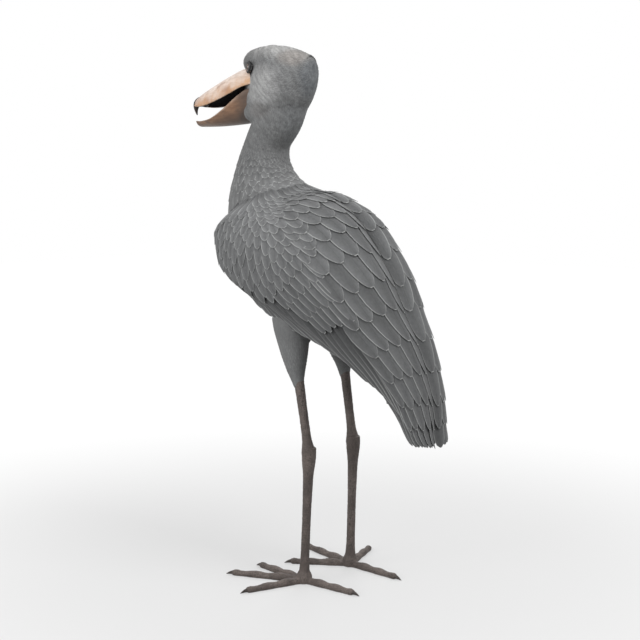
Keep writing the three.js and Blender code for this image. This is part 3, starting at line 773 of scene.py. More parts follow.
def tail_pad():
    """The rump under the tail's feathers, thinning to the rear."""
    u, share = np.linspace(9, 11.4, 30)[:, None], np.linspace(-0.85, 0.85, 30)[None, :]
    u, share = np.broadcast_arrays(u, share)
    here, _ = spine_at(u)
    thick = mix(1.25, 0.25, smoothstep(u, 9.6, 11.4)) * np.minimum(here[..., 3], here[..., 4])
    thick = thick * np.sqrt(1 - share**2)
    return slab(tail_place(u, share, 1.0), tail_place(u, share, thick))


forms = [trunk(), skull(), tail_pad(), wing_bed(1), wing_bed(-1)]
for way in (1, -1):
    forms += [ball((way * x, y, z), radii) for (x, y, z), radii in HEAD_PADS]
for leg in LEGS.values():
    path, radii = thigh_path(leg)
    forms.append(capped(limb(path, radii - THIGH_COAT)))
skin_mesh = remeshed("skin", joined(forms), SKIN_VOXEL, SKIN_ROUNDS)
skin = show("skin", skin_mesh, DOWN, "body_plumage", "head", "neck", "torso", "thigh_l", "thigh_r",
            "wing_l", "wing_r", "tail")

# %% [markdown]
# ## Feathers as arrays
# A feather is a flat vane of barbs on a shaft. Hair strands have no vane, and a flat card with a
# picture of a feather has no thickness and shows its square corners. Here each feather is a
# closed lens: a grid of points for its upper face, and a lower face that shares the rim. All the
# feathers of a piece are one array, so a thousand of them cost no more work than one.

# %% Vane template
# Side of the small square that each feather takes in the unwrap for baking.
BAKE_PATCH = 0.003


def vane_width(s, point=0.55, start=0.55):
    """Half-width along a vane: it opens from a narrow root, and from the share start on it
    closes as (1 - q^2)^point, with q running from 0 to 1 at the tip."""
    closing = np.clip(1 - ((s - start) / (1 - start)) ** 2, 0, 1) ** point
    return np.where(s < start, 0.42 + 0.58 * smoothstep(s, -0.05, start), np.maximum(closing, 0.14))


def lens_template(rows, columns):
    """Quads, rim flags and which points have a double below, for a grid of a vane."""
    index = np.arange(rows * columns).reshape(rows, columns)
    inner = np.zeros((rows, columns), bool)
    inner[1:-1, 1:-1] = True
    below = index.copy()
    below[inner] = rows * columns + np.arange(inner.sum())
    top = grid_quads(rows, columns)
    low = below.ravel()[top][:, ::-1]
    rim = np.concatenate([~inner.ravel(), np.zeros(inner.sum(), bool)])
    return np.concatenate([top, low]), rim, inner.ravel()


def vane_mesh(name, top, bottom, s, t, patch, edging, tone):
    """Joined mesh of many vanes: top and bottom are (vane, row, column, xyz), patch is each
    root's place in the unwrap for baking, and edging and tone are one number for each vane. The
    rims are marked sharp, so that each face is shaded by itself."""
    length = np.linalg.norm(np.diff(top[:, :, len(t) // 2], axis=1), axis=-1).sum(1)
    wide = np.linalg.norm(top[:, :, -1] - top[:, :, 0], axis=-1).max(1) / 2
    count, rows, columns = top.shape[:3]
    quads, rim, inner = lens_template(rows, columns)
    points = np.concatenate([top.reshape(count, -1, 3), bottom.reshape(count, -1, 3)[:, inner]], 1)
    size = points.shape[1]
    faces = (quads[None] + (np.arange(count) * size)[:, None, None]).reshape(-1, 4)
    points = points.reshape(-1, 3)
    mesh = new_mesh(name, points, outward(points, faces))
    grid = np.stack(np.broadcast_arrays(s[:, None], t[None, :] / 2 + 0.5), -1).reshape(-1, 2)
    local = np.concatenate([grid, grid[inner]])
    unwraps = {"Vane": np.tile(local, (count, 1)), "OFBake": local * BAKE_PATCH + patch[:, None]}
    corners = np.zeros(len(mesh.loops), np.int32)
    mesh.loops.foreach_get("vertex_index", corners)
    for label, places in unwraps.items():
        layer = mesh.uv_layers.new(name=label)
        layer.data.foreach_set("uv", places.reshape(-1, 2)[corners].astype(np.float32).ravel())
    numbers = dict(edging=edging, tone=tone, length=length, wide=wide)
    with_values(mesh, **{label: np.repeat(values, size) for label, values in numbers.items()})
    ends = np.zeros(len(mesh.edges) * 2, np.int32)
    mesh.edges.foreach_get("vertices", ends)
    on_rim = np.tile(rim, count)[ends.reshape(-1, 2)].all(1)
    sharp = mesh.attributes.get("sharp_edge") or mesh.attributes.new("sharp_edge", "BOOLEAN", "EDGE")
    sharp.data.foreach_set("value", on_rim)
    return mesh


print("a vane of 5 x 3 points has", len(lens_template(5, 3)[0]), "faces")

# %% [markdown]
# ## A coat on the skin
# Small feathers lie on the skin like tiles on a roof, each over the root of the next. Instanced
# feathers would all be the same stiff shape. Here every point of each shaft is moved to the
# nearest place on the skin first, so the feathers bend with it.

# %% Laying the coat on the skin
def on_skin(points, high):
    """Each point's nearest place on the skin, raised by so many millimetres along its normal.
    The Shrinkwrap modifier does it for all points at once."""
    mesh = new_mesh("guide", points.reshape(-1, 3), [])
    guide = bpy.data.objects.new("guide", mesh)
    bpy.context.scene.collection.objects.link(guide)
    wrap = guide.modifiers.new("wrap", "SHRINKWRAP")
    wrap.target = skin
    wrap.wrap_mode = "ABOVE_SURFACE"
    wrap.offset = high / 1000
    done = guide.evaluated_get(bpy.context.evaluated_depsgraph_get()).to_mesh()
    moved = points_of(done)
    bpy.data.objects.remove(guide)
    return moved.reshape(points.shape)


COAT_S = np.array([0, 0.3, 0.6, 0.82, 1.0])
COAT_T = np.array([-1.0, 0, 1])
COAT_POINT = 0.8
COAT_THICK = 0.5
CAMBER = 0.16
SUNK_ROOT = -0.35
PROBE = 10.0
TINY = 1e-9


def coat(name, place, roots, tips, half_width, edging, patch, lift):
    """A coat of small feathers on the skin. place turns two surface parameters into points,
    and each feather runs from its root's parameters to its tip's. Its width is set off across
    its own path, its sides bend down by camber t^2, its tip stands lift over the skin and its
    root a third of that under it. The skin's normal is the way to a probe raised over it."""
    s, t = COAT_S, COAT_T
    line = mix(roots[:, None], tips[:, None], s[None, :, None])
    spine = on_skin(place(line[..., 0], line[..., 1]), 0.0)
    normal = on_skin(spine, PROBE) - spine
    normal /= np.linalg.norm(normal, axis=-1, keepdims=True) + TINY
    side = np.cross(np.gradient(spine, axis=1), normal)
    side /= np.linalg.norm(side, axis=-1, keepdims=True) + TINY
    half_width = half_width[:, None, None, None]
    wide = half_width * vane_width(s, COAT_POINT)[None, :, None, None] * t[:, None]
    rise = (lift[:, None] * mix(SUNK_ROOT, 1.0, s)[None])[:, :, None, None]
    camber = CAMBER * half_width * (t**2)[:, None]
    top = spine[:, :, None] + side[:, :, None] * wide + normal[:, :, None] * (rise - camber)
    bottom = top - normal[:, :, None] * COAT_THICK
    return vane_mesh(name, top, bottom, s, t, patch, edging, draw.random(len(roots)))


def ring_length(place, at):
    """Length round the body or the head at one value of place's first parameter."""
    ring = place(np.full(49, at), np.linspace(-180, 180, 49))
    return np.linalg.norm(np.diff(ring, axis=0), axis=1).sum()


def row_degrees(count, row, wobble, start=-180):
    """Even steps round a row, every other row turned by half a step, and each root moved by a
    normal draw of so many steps."""
    degrees = (np.arange(count) + 0.5 * (row % 2)) * 360 / count + start
    return degrees + draw.normal(0, wobble, count) * 360 / count


def bake_place(along, degrees, share=0.99):
    """A root's place in the unwrap for baking: its place along, and its turn as a share."""
    return np.stack([along, ((degrees + 180) % 360) / 360 * share], -1)


print("a small feather has", len(COAT_S), "rows of", len(COAT_T), "points")


# %% [markdown]
# ## Neck, breast and belly
# The neck's feathers are short, soft and plain. From the lower neck on they grow longer, broader
# and pale-edged. A random scatter would leave bald spots, so the roots lie in rows round the
# spine, turned by half a feather from row to row and then jittered a little. Those that the
# folded wings, the head or the thighs would hide are left out.

# %% Body feathers
BODY_LENGTH = [(0, 10), (1, 12), (2.1, 17), (2.7, 38), (3.3, 52), (4, 52), (6, 46), (8, 40), (10.6, 40)]
BODY_END = 10.7
ROW_STEP = 0.38
SIDE_STEP = 0.36 * 0.95
SLIM = 0.26
SKULL_MIDDLE = np.array([0, -95, 1070])
SKULL_RADIUS = 53


def body_pace(u):
    """Millimetres for each station, measured along the flank."""
    return np.linalg.norm(on_body(u + 0.05, 90.0) - on_body(u - 0.05, 90.0), axis=-1) * 10


def body_rows():
    """Roots row by row: station, degrees and length."""
    u, roots, row = 0.0, [], 0
    while u < BODY_END:
        length = np.interp(u, *np.transpose(BODY_LENGTH))
        count = int(ring_length(on_body, u) / (length * SIDE_STEP))
        degrees = row_degrees(count, row, 0.16)
        jitter = draw.normal(0, 0.05, count) * length / 70
        roots.append(np.stack([u + jitter, degrees, np.full(count, length)], -1))
        u += ROW_STEP * length / body_pace(u)
        row += 1
    return np.concatenate(roots)


def body_coat():
    """Feathers of neck, breast, belly and rump, without those that the wings hide."""
    rows = body_rows()
    u, degrees, _ = rows.T
    base = on_body(u, degrees)
    turn = abs((degrees + 180) % 360 - 180)
    hidden = (u > 4.5) & (u < 10.4) & (turn < wing_edge(u) - 14) & (turn > 11)
    hidden |= np.linalg.norm(base - SKULL_MIDDLE, axis=-1) < SKULL_RADIUS
    for leg in LEGS.values():
        path, radii = thigh_path(leg)
        gap = np.linalg.norm(base[:, None] - path[None], axis=-1) - radii
        hidden |= gap.min(1) < 7
    u, degrees, length = rows[~hidden].T
    length = length * draw.uniform(0.85, 1.15, len(u))
    fan = draw.normal(0, 1.3, len(u))
    tips = np.stack([u + length / body_pace(u), degrees + fan], -1)
    edging = mix(0.1, draw.uniform(0.45, 0.85, len(u)), smoothstep(u, 1.9, 2.8))
    edging = edging * mix(1, 0.5, smoothstep(u, 3.4, 4.0))
    lift = mix(1.2, 3.4, smoothstep(u, 1, 4)) * mix(1, 0.55, smoothstep(abs(degrees), 110, 150))
    return coat("body_feathers", on_body, np.stack([u, degrees], -1), tips, length * SLIM,
                edging, bake_place((u + 0.5) / 12.5, degrees), lift)


show("body_feathers", body_coat(), BODY_FEATHER, "body_plumage", "neck", "torso")

# %% [markdown]
# ## Head
# The feathers of the face are the smallest, from under to just over a centimetre long. They lie
# from the bill backwards over crown and cheeks, and none grows on the bill or the eye, so the
# bill's tables come first, to tell which roots lie in it. A row of longer feathers at the nape
# makes the short crest. The head's coat is made as the body's is, from rows round the skull.

# %% Bill tables
# Rows from the face to the tip: y, the height of the crest, that of the edge, and half the
# width. The lower bill's rows give the rim first and then the keel.
UPPER_BILL = [
    (-150, 1112, 1070, 42),
    (-186, 1111, 1064, 45),
    (-222, 1104, 1052, 45),
    (-262, 1091, 1040, 42),
    (-302, 1076, 1031, 37),
    (-338, 1062, 1028, 28),
    (-362, 1051, 1030, 17),
]
LOWER_BILL = [
    (-150, 1062, 992, 39),
    (-180, 1057, 989, 41),
    (-214, 1040, 986, 41),
    (-254, 1018, 984, 38),
    (-296, 1001, 983, 32),
    (-334, 996, 983.5, 24),
    (-354, 997, 984, 19),
]
FACE = -158


def in_bill(points, spare):
    """True where a point is inside the upper or lower bill, grown by spare."""
    found = np.zeros(points.shape[:-1], bool)
    for table in (UPPER_BILL, LOWER_BILL):
        y, crest, edge, side = np.array(table[::-1], float).T
        crest, edge, side = (np.interp(points[..., 1], y, row) for row in (crest, edge, side))
        low = (crest + edge) / 2 if table is LOWER_BILL else edge
        tall = (crest - edge) / 2 if table is LOWER_BILL else crest - edge
        reach = (points[..., 0] / (side + spare)) ** 2 + ((points[..., 2] - low) / (tall + spare)) ** 2
        found |= (reach < 1) & (points[..., 1] < FACE)
    return found


print("bill of", len(UPPER_BILL), "rows above and", len(LOWER_BILL), "below")


# %% Head feathers
HEAD_Y = np.array(HEAD, float)[:, 0]
COAT_FROM = -196.0
COAT_TO = -14
EYE_GAP = 15.5
BILL_GAP = 2.5
HEAD_EDGING = 0.16
CREST = np.linspace(-40, 40, 11)


def head_rows():
    """Roots row by row from the bill to the nape: slice, degrees and length."""
    roots, y, row = [], COAT_FROM, 0
    while y < COAT_TO:
        length = mix(6.5, 13.0, smoothstep(y, -175, -70))
        v = np.interp(y, HEAD_Y[::-1], np.arange(6, -1, -1))
        count = max(int(ring_length(on_head, v) / (length * 0.4)), 8)
        degrees = row_degrees(count, row, 0.2)
        roots.append(np.stack([v + draw.normal(0, 0.03, count), degrees, np.full(count, length)], -1))
        y += 0.34 * length
        row += 1
    return np.concatenate(roots)


def head_coat():
    """The rows without the roots in bill, eye or neck, and the crest's longer feathers, which
    are longest and highest in its middle."""
    rows = head_rows()
    base = on_head(rows[:, 0], rows[:, 1])
    near_eye = np.linalg.norm(base * [0, 1, 1] + abs(base) * [1, 0, 0] - EYE, axis=-1) < EYE_GAP
    in_neck = (base[:, 2] < 1010) & (base[:, 1] > -150)
    keep = ~in_bill(base, BILL_GAP) & ~near_eye & ~in_neck
    v, degrees, length = rows[keep].T
    length = length * draw.uniform(0.85, 1.2, len(v))
    lift = np.concatenate([0.9 * smoothstep(base[keep][:, 2], 1006, 1040), 4.2 - abs(CREST) / 20])
    v = np.concatenate([v, 1.35 - abs(CREST) / 200])
    degrees = np.concatenate([degrees, CREST])
    length = np.concatenate([length, 25 - abs(CREST) / 8])
    pace = np.interp(v, np.arange(6) + 0.5, abs(np.diff(HEAD_Y)))
    tips = np.stack([v - length / pace, degrees + draw.normal(0, 2.0, len(v))], -1)
    return coat("head_feathers", on_head, np.stack([v, degrees], -1), tips, length * SLIM,
                np.full(len(v), HEAD_EDGING), bake_place(v / 6.5 + 0.02, degrees), lift)


show("head_feathers", head_coat(), BODY_FEATHER, "body_plumage", "head")

# %% [markdown]
# ## Thighs
# Short soft feathers cover the thigh down to the bare shin like trousers. They are laid in rows
# round the leg's own line, because rows round the spine would run across it.

# %% Thigh feathers
THIGH_SHARES = np.linspace(0, 1, 61)
THIGH_FROM = 0.04
THIGH_TO = 0.985
THIGH_EDGING = 0.12


def thigh_coat(side):
    """Rows down one thigh, with feathers that grow shorter towards the shin."""
    path, radii = thigh_path(LEGS[side], len(THIGH_SHARES))

    def on_thigh(share, degrees):
        """Point round the thigh's line: centre + radius (cos a, sin a, 0) at a share of its
        length."""
        middle = np.stack([np.interp(share, THIGH_SHARES, path[:, k]) for k in range(3)], -1)
        radius = np.interp(share, THIGH_SHARES, radii)
        angle = np.radians(degrees)
        return middle + radius[..., None] * np.stack([np.cos(angle), np.sin(angle), 0 * angle], -1)

    long = np.linalg.norm(path[-1] - path[0])
    roots, share, row = [], THIGH_FROM, 0
    while share < THIGH_TO:
        length = mix(20.0, 11.0, share)
        around = 2 * np.pi * np.interp(share, THIGH_SHARES, radii)
        count = max(int(around / (length * 0.36)), 9)
        degrees = row_degrees(count, row, 0.2, 0)
        roots.append(np.stack([np.full(count, share), degrees, np.full(count, length)], -1))
        share += 0.3 * length / long
        row += 1
    share, degrees, length = np.concatenate(roots).T
    tips = np.stack([np.minimum(share + length / long, 1.03), degrees], -1)
    patch = bake_place(share * 0.98, degrees - 180, 0.98)
    return coat(f"thigh_feathers_{side}", on_thigh, np.stack([share, degrees], -1), tips, length * 0.27,
                np.full(len(share), THIGH_EDGING), patch, 1.8 * smoothstep(share, 0, 0.35))


for side in "lr":
    show(f"thigh_feathers_{side}", thigh_coat(side), BODY_FEATHER, "body_plumage", f"thigh_{side}")

# %% [markdown]
# ## Wings and tail
# The folded wing is tiers of overlapping vanes: rows of small coverts on the shoulder, broad
# scapulars and tertials over the back, and the long secondaries and primaries below them. The
# large feathers are stiff and each has its place, so they don't follow the skin as the small
# ones do. A table says where each tier's tips lie, and the vanes rise a little from root to tip,
# so that each tier covers the roots of the next.

# %% Wing tiers
# Each tier: first and last tip station, first and last angle, feathers, length in stations,
# half-width in mm, depth under the wing's top, lean across, how pale its edges are, and tone. The
# tone is partly the tiers' own paler or darker grey, and partly painted light on the shoulder's
# coverts and painted shade on the flight feathers low on the flank.
# the coverts' higher tone is partly their own paler grey, partly painted light on the shoulder
LESSER_COVERTS = [
    ((u, u + 0.02), (46, 124), 12 - k // 3, 0.52 + 0.05 * k, 10.5 + 0.5 * k, 0, 0.1, 0.85, 0.7)
    for k, u in enumerate(np.arange(4.62, 5.75, 0.2))
]
MEDIAN_COVERTS = [
    ((u, u - 0.02), (50, 121 - 5 * k), 10, 0.82 + 0.1 * k, 13.5 + k * 0.3, 0, 0.1, 0.9, 0.5)
    for k, u in enumerate((5.88, 6.18, 6.5, 6.84))
]
GREATER_COVERTS = [
    ((7.25, 7.05), (54, 99), 8, 1.4, 13, 0, 0.14, 0.9, 0.3),
    ((7.75, 7.5), (58, 94), 7, 1.6, 12.5, 0.8, 0.16, 0.9, 0.0),
    ((8.3, 8.05), (57, 90), 7, 1.8, 12.5, 0.8, 0.18, 0.8, -0.3),
    ((8.9, 8.6), (58, 86), 6, 1.9, 12.5, 1.2, 0.18, 0.75, -0.5),
]
BACK_FEATHERS = [
    ((4.75, 4.8), (4, 44), 7, 0.6, 12, 0, 0.1, 0.8, 0.0),
    ((5.1, 5.1), (4, 46), 7, 0.75, 13.5, 0, 0.1, 0.85, -0.2),
    ((5.5, 5.45), (4, 48), 6, 0.95, 15.5, 0, 0.1, 0.9, -0.3),
    ((5.98, 5.93), (4, 48), 6, 1.1, 17, 0, 0.1, 0.95, -0.3),
    ((6.55, 6.45), (5, 50), 5, 1.3, 18, 0, 0.1, 0.95, -0.3),
    ((7.2, 7.05), (5, 52), 5, 1.5, 19, 0, 0.1, 0.95, -0.3),
    ((7.9, 7.7), (5, 54), 5, 1.6, 19, 0, 0.1, 0.9, -0.3),
    ((8.6, 8.4), (6, 57), 5, 1.7, 19, 0, 0.1, 0.9, -0.3),
    ((9.3, 9.1), (6, 60), 5, 1.8, 18, 0, 0.1, 0.9, -0.4),
    ((10.0, 9.85), (7, 62), 5, 1.8, 17, 0, 0.1, 0.9, -0.5),
    ((10.7, 10.55), (8, 64), 5, 1.8, 15, 0, 0.1, 0.85, -0.6),
    ((11.35, 11.2), (8, 66), 5, 1.8, 13, 0.4, 0.1, 0.8, -0.7),
    ((11.95, 11.8), (9, 68), 5, 1.8, 11.5, 1.2, 0.12, 0.75, -0.8),
]
# the flight feathers' low tone is partly their own darker grey, partly painted shade low on the flank
FLIGHT_FEATHERS = [
    ((11.95, 9.2), (64, 113), 10, 3.4, 12.5, 4.2, 0.34, 0.8, -1.2),
    ((9.0, 6.7), (114, 121), 7, 2.7, 12.5, 2.6, 0.34, 0.85, -0.7),
    ((12.5, 12.1), (12, 100), 8, 2.6, 12, 5.0, 0.26, 0.6, -1.2),
]
TIERS = LESSER_COVERTS + MEDIAN_COVERTS + GREATER_COVERTS + BACK_FEATHERS + FLIGHT_FEATHERS
VANE_THICK = 0.7
VANE_S = np.array([0, 0.12, 0.3, 0.48, 0.62, 0.74, 0.84, 0.91, 0.96, 1.0])
VANE_T = np.array([-1, -0.55, -0.09, 0, 0.09, 0.55, 1])
SHAFT = np.array([0, 0, 0.1, 0.75, 0.1, 0, 0])
print(len(TIERS), "tiers with", sum(tier[2] for tier in TIERS), "feathers on each wing")


# %% Wing feathers
def wing_rows():
    """Each feather's tip station, angle, half-width, length, depth, lean, edging and tone."""
    rows = []
    for tips, angles, count, length, wide, sunk, lean, edging, tone in TIERS:
        share = np.linspace(0, 1, count)
        tip = mix(tips[0], tips[1], share) + draw.normal(0, 0.025, count)
        angle = mix(angles[0], angles[1], share) + draw.normal(0, 0.25, count)
        angle = np.minimum(angle, wing_edge(tip) + 6)
        grown = wide * draw.uniform(0.93, 1.08, count)
        same = [np.full(count, v) for v in (length, sunk, lean, edging, tone)]
        rows.append(np.stack([tip, angle, grown, *same], -1))
    return np.concatenate(rows)


def wing_vanes(side, way):
    """All vanes of one wing. Roots of long feathers draw together towards 62 degrees, as they
    do at the real wing's joints. A point lies at height wing top - depth + lift + lean times
    its distance across - camber t^2, where lift grows from root to tip."""
    rows = wing_rows()
    patch = np.stack([(rows[:, 0] - rows[:, 3] - 1) / 12, rows[:, 1] / 130], -1)
    tip, angle, wide, length, sunk, lean, edging, tone = rows.T[:, :, None, None]
    fan = np.where(length > 2.5, 0.42, 0.12 * np.minimum(length, 2)) * smoothstep(angle, 0, 40)
    slant = 13 * smoothstep(angle, 58, 84) * (1 - smoothstep(tip, 6.6, 7.8)) * (length < 2)
    s, t = VANE_S[:, None], VANE_T[None, :]
    u = mix(tip - length, tip, s)
    middle = mix(mix(angle, 62, fan) - slant, angle, s)
    degree = np.linalg.norm(on_body(u, middle + 1, 20) - on_body(u, middle - 1, 20), axis=-1) / 2
    across = wide * np.where(length > 2, vane_width(s, 0.5, 0.84), vane_width(s)) * t
    degrees = np.maximum(middle + across / degree, 0.8)
    base = wing_top(u, np.clip(degrees, 0, 180)) - sunk
    lift = mix(-4.5, 4.5, s**0.8) * np.minimum(1, 0.45 + 0.55 * length)
    height = base + lift + lean * across - 0.05 * wide * t**2 + SHAFT * (1 - s)
    top = on_body(u, degrees, height) * [way, 1, 1]
    bottom = on_body(u, degrees, height - VANE_THICK) * [way, 1, 1]
    edging = edging.ravel() * draw.uniform(0.75, 1.1, len(rows))
    tone = tone.ravel() + draw.random(len(rows))
    return vane_mesh(f"wing_feathers_{side}", top, bottom, VANE_S, VANE_T, patch, edging, tone)


for side, way in (("l", 1), ("r", -1)):
    show(f"wing_feathers_{side}", wing_vanes(side, way), WING_FEATHER, "flight_plumage", f"wing_{side}")

# %% [markdown]
# ## Tail
# The short square tail lies under the wing tips. Its vanes are blunt, and they overlap like a
# closed fan, with the middle pair on top.

# %% Tail feathers
TAIL_PAIRS = 6
TAIL_FROM = 9.9
TAIL_TO = 12.37
TAIL_WIDE = 10.5 / 60
TAIL_THICK = 0.6
TAIL_EDGING = 0.4


def tail_vanes():
    """Pairs of flat vanes that overlap from the middle pair outwards, each pair a little
    deeper and shorter than the one before."""
    order = np.repeat(np.arange(TAIL_PAIRS), 2)
    way = np.tile([1, -1], TAIL_PAIRS)
    patch = np.stack([0.1 + 0.1 * order, 0.5 + 0.3 * way], -1)
    end = (way * (0.09 + 0.155 * order))[:, None, None]
    depth = (1.2 + 1.4 * (order + (way < 0) * 0.5))[:, None, None]
    s, t = VANE_S[:, None], VANE_T[None, :]
    u = mix(TAIL_FROM, TAIL_TO, s) - 0.03 * order[:, None, None] * s
    share = end * mix(0.7, 1.0, s) + TAIL_WIDE * vane_width(s, 0.5, 0.86) * t
    u, share, depth = np.broadcast_arrays(u, share, depth)
    top = tail_place(u, share, depth - SHAFT)
    bottom = tail_place(u, share, depth + TAIL_THICK)
    edging = np.full(len(order), TAIL_EDGING)
    return vane_mesh("tail_feathers", top, bottom, VANE_S, VANE_T, patch, edging, draw.random(len(order)))


show("tail_feathers", tail_vanes(), WING_FEATHER, "flight_plumage", "tail")

# %% [markdown]
# ## Bill
# The broad bill is horn over bone: an arched upper half with a ridge, two long grooves, a slit
# for each nostril and a dark hooked nail, and a shallower lower half. It could be bent out of a
# box, but its slices change so evenly that an arch carried along a table of rows gives the
# shape, and the ridge, grooves and slits are small bells added to the arch.

# %% Horn material
def horn(name, light, warm, dark, edge, roughness):
    """Horn in two tints with streaks and blots, and a third where attribute "warmth" is 1; a second
    stored number darkens it, both for the horn's own dark marks and for painted shade."""
    material, body, nodes = shader(name, {"Roughness": roughness, "Specular IOR Level": 0.22})
    place = nodes.place()
    drawn_out = {"Vector": place, "Scale": [3.0, 0.5, 3.0]}
    streaks = nodes.grain(nodes.add("ShaderNodeMapping", drawn_out).outputs[0], 60, 5, 0.65)
    blots = nodes.grain(place, 45, 4, 0.6)
    tint = nodes.tint(nodes.ramp(streaks, 0.4, 0.65), light, warm)
    tint = nodes.tint(nodes.ramp(blots, 0.54, 0.70, 0.0, 0.6), tint, dark)
    patchy = nodes.times(nodes.ramp(blots, 0.35, 0.62, 0.35, 1.0), nodes.own("warmth"))
    tint = nodes.tint(patchy, tint, edge)
    nodes.feed(body["Base Color"], nodes.tint(nodes.own("stain"), tint, dark))
    nodes.bump(body, nodes.plus(streaks, blots), 0.25, 0.0008)
    return material


def mouth_shade_material():
    """Painted shade for the mouth's inner faces: near-black, with hardly any shine."""
    material, body, nodes = shader("mouth_painted_shade", {"Roughness": 1.0, "Specular IOR Level": 0.02})
    creases = nodes.grain(nodes.place(), 200)
    nodes.feed(body["Base Color"], nodes.tint(creases, (0.008, 0.006, 0.006), (0.018, 0.013, 0.012)))
    return material


UPPER_HORN = horn(
    "upper_horn", (0.74, 0.63, 0.56), (0.58, 0.47, 0.40), (0.27, 0.14, 0.10), (0.56, 0.34, 0.20), 0.4
)
LOWER_HORN = horn(
    "lower_horn", (0.26, 0.15, 0.09), (0.19, 0.105, 0.065), (0.07, 0.055, 0.048), (0.46, 0.33, 0.25), 0.42
)
NAIL_HORN = horn(
    "nail_horn", (0.05, 0.036, 0.03), (0.03, 0.024, 0.022), (0.015, 0.013, 0.012), (0.02, 0.02, 0.02), 0.3
)
MOUTH_PAINTED_SHADE = mouth_shade_material()
print("horn materials:", UPPER_HORN.name, LOWER_HORN.name, NAIL_HORN.name)

# %% Bill shapes
# Points across the outer arch and across the hollowed face, rows along, rows of the tip, and how
# deep a nostril's slit is in millimetres.
ARCH = 61
MOUTH = 19
BILL_ROWS = 130
TIP_ROWS = 8
SLIT_DEPTH = 2.5
V = np.linspace(0, 6, BILL_ROWS)[:, None]
A = np.linspace(-90, 90, ARCH)[None, :]


def bell(x, middle, width):
    """exp(-((x - middle) / width)^2)."""
    return np.exp(-(((x - middle) / width) ** 2))


def nostril_at(v, a):
    """1 in the slit of each nostril, in the groove beside the ridge, and 0 away from it."""
    return smoothstep(v, 1.15, 1.3) * (1 - smoothstep(v, 1.65, 1.8)) * bell(abs(a), 21, 2.6)


def bill_rings(table, hollow, lower):
    """Rings of the bill: an arch x = side sin a, z = edge + (crest - edge) cos a from edge to
    edge, closed by a hollowed face; the lower bill is the same turned over."""
    y, crest, edge, side = np.moveaxis(through(table, V), -1, 0)
    tall = crest - edge
    if lower:
        edge = -crest
    else:
        ridge = 2.4 * bell(A, 0, 8) - 1.4 * bell(abs(A), 19, 5)
        ridge = ridge * smoothstep(V, 0.6, 2) * (1 - smoothstep(V, 5.2, 6))
        tall = tall + (ridge - SLIT_DEPTH * nostril_at(V, A))
    angle = np.radians(A)
    lip = 1.2 * bell(abs(A), 84, 5)
    arch = [(side + lip) * np.sin(angle), y + 0 * angle, edge + tall * np.cos(angle)]
    share = np.linspace(0.93, -0.93, MOUTH)[None, :]
    depth = hollow * (1 - share**2)
    roof = [share * side, y + 0 * share, edge + depth + 0 * share]
    rings = np.stack([np.concatenate(pair, 1) for pair in zip(arch, roof)], -1)
    if lower:
        rings[..., 2] *= -1
    return rings


def tipped(rings, tip):
    """The last ring drawn in to a rounded end: middle + (ring - middle) cos t + reach sin t."""
    t = np.linspace(0, 1, TIP_ROWS + 1)[1:, None, None] * np.pi / 2
    middle = rings[-1].mean(0)
    end = middle + (rings[-1] - middle)[None] * np.maximum(np.cos(t), 0.04) + (tip - middle) * np.sin(t)
    return np.concatenate([rings, end])


def bill_stain(rings, lower):
    """How dark each point is: the darker tip, then the lower bill darker towards its keel and with
    painted shade at its base by the throat, or the upper bill's two blots and painted shade in its
    nostril slits."""
    y, z = rings[..., 1], rings[..., 2]
    stain = smoothstep(y, -300, -372) * 0.35
    if lower:
        stain = stain + 0.7 * smoothstep(z, 1022, 992) * smoothstep(y, -330, -210)
        # painted shade at the base of the lower bill, by the throat
        return np.minimum(stain + 0.75 * smoothstep(y, -226, -184), 0.95)
    stain = stain + 0.5 * bell(y, -235, 16) * bell(z, 1060, 9)
    stain = stain + 0.4 * bell(y, -300, 14) * bell(z, 1040, 7)
    # painted shade in the nostril slits
    slits = stain[:BILL_ROWS, :ARCH]
    slits[:] = np.maximum(slits, nostril_at(V, A))
    return stain


def bill_warmth(rings, lower):
    """How warm each point's tint is: the lower bill's rim, or the upper bill's lower half."""
    z = rings[..., 2]
    crest, low = z.max(1, keepdims=True), z.min(1, keepdims=True)
    height = (z - low) / (crest - low + TINY)
    return smoothstep(height, 0.82, 1.0) if lower else smoothstep(height, 0.75, 0.1)


def bill_piece(name, table, hollow, lower, tip, material, node):
    """One half of the bill, with a lining of painted shade on the hollowed face."""
    rings = tipped(bill_rings(table, hollow, lower), np.array(tip, float))
    points, quads, tris = capped(rings)
    lining = np.zeros(rings.shape[:2])
    lining[:-TIP_ROWS, ARCH:] = 1
    numbers = (lining, bill_stain(rings, lower), bill_warmth(rings, lower))
    lining, stain, warmth = (np.concatenate([w.ravel(), [0, 0]]) for w in numbers)
    mesh = with_values(new_mesh(name, points, quads, tris), stain=stain, warmth=warmth)
    show(name, mesh, material, "bill", node)
    # the hollowed faces take the painted shade of the mouth's inside
    mesh.materials.append(MOUTH_PAINTED_SHADE)
    dark_faces = np.concatenate([lining[quads].min(1), lining[tris].min(1)]) > 0.5
    mesh.polygons.foreach_set("material_index", dark_faces.astype(np.int32))


bill_piece("bill_upper", UPPER_BILL, 9, False, (0, -368, 1040), UPPER_HORN, "upper_bill")
bill_piece("bill_lower", LOWER_BILL, 7, True, (0, -362, 990), LOWER_HORN, "lower_bill")

# %% [markdown]
# ## Nail
# The upper bill ends in a dark hook that grips slippery fish. It is the simplest kind of swept
# shape: rings of shrinking radius along a curve through three marks.

# %% Nail
NAIL_MARKS = [(0, -342, 1041), (0, -386, 1047), (0, -372, 1012)]
NAIL_RADII = (13.0, 1.2)


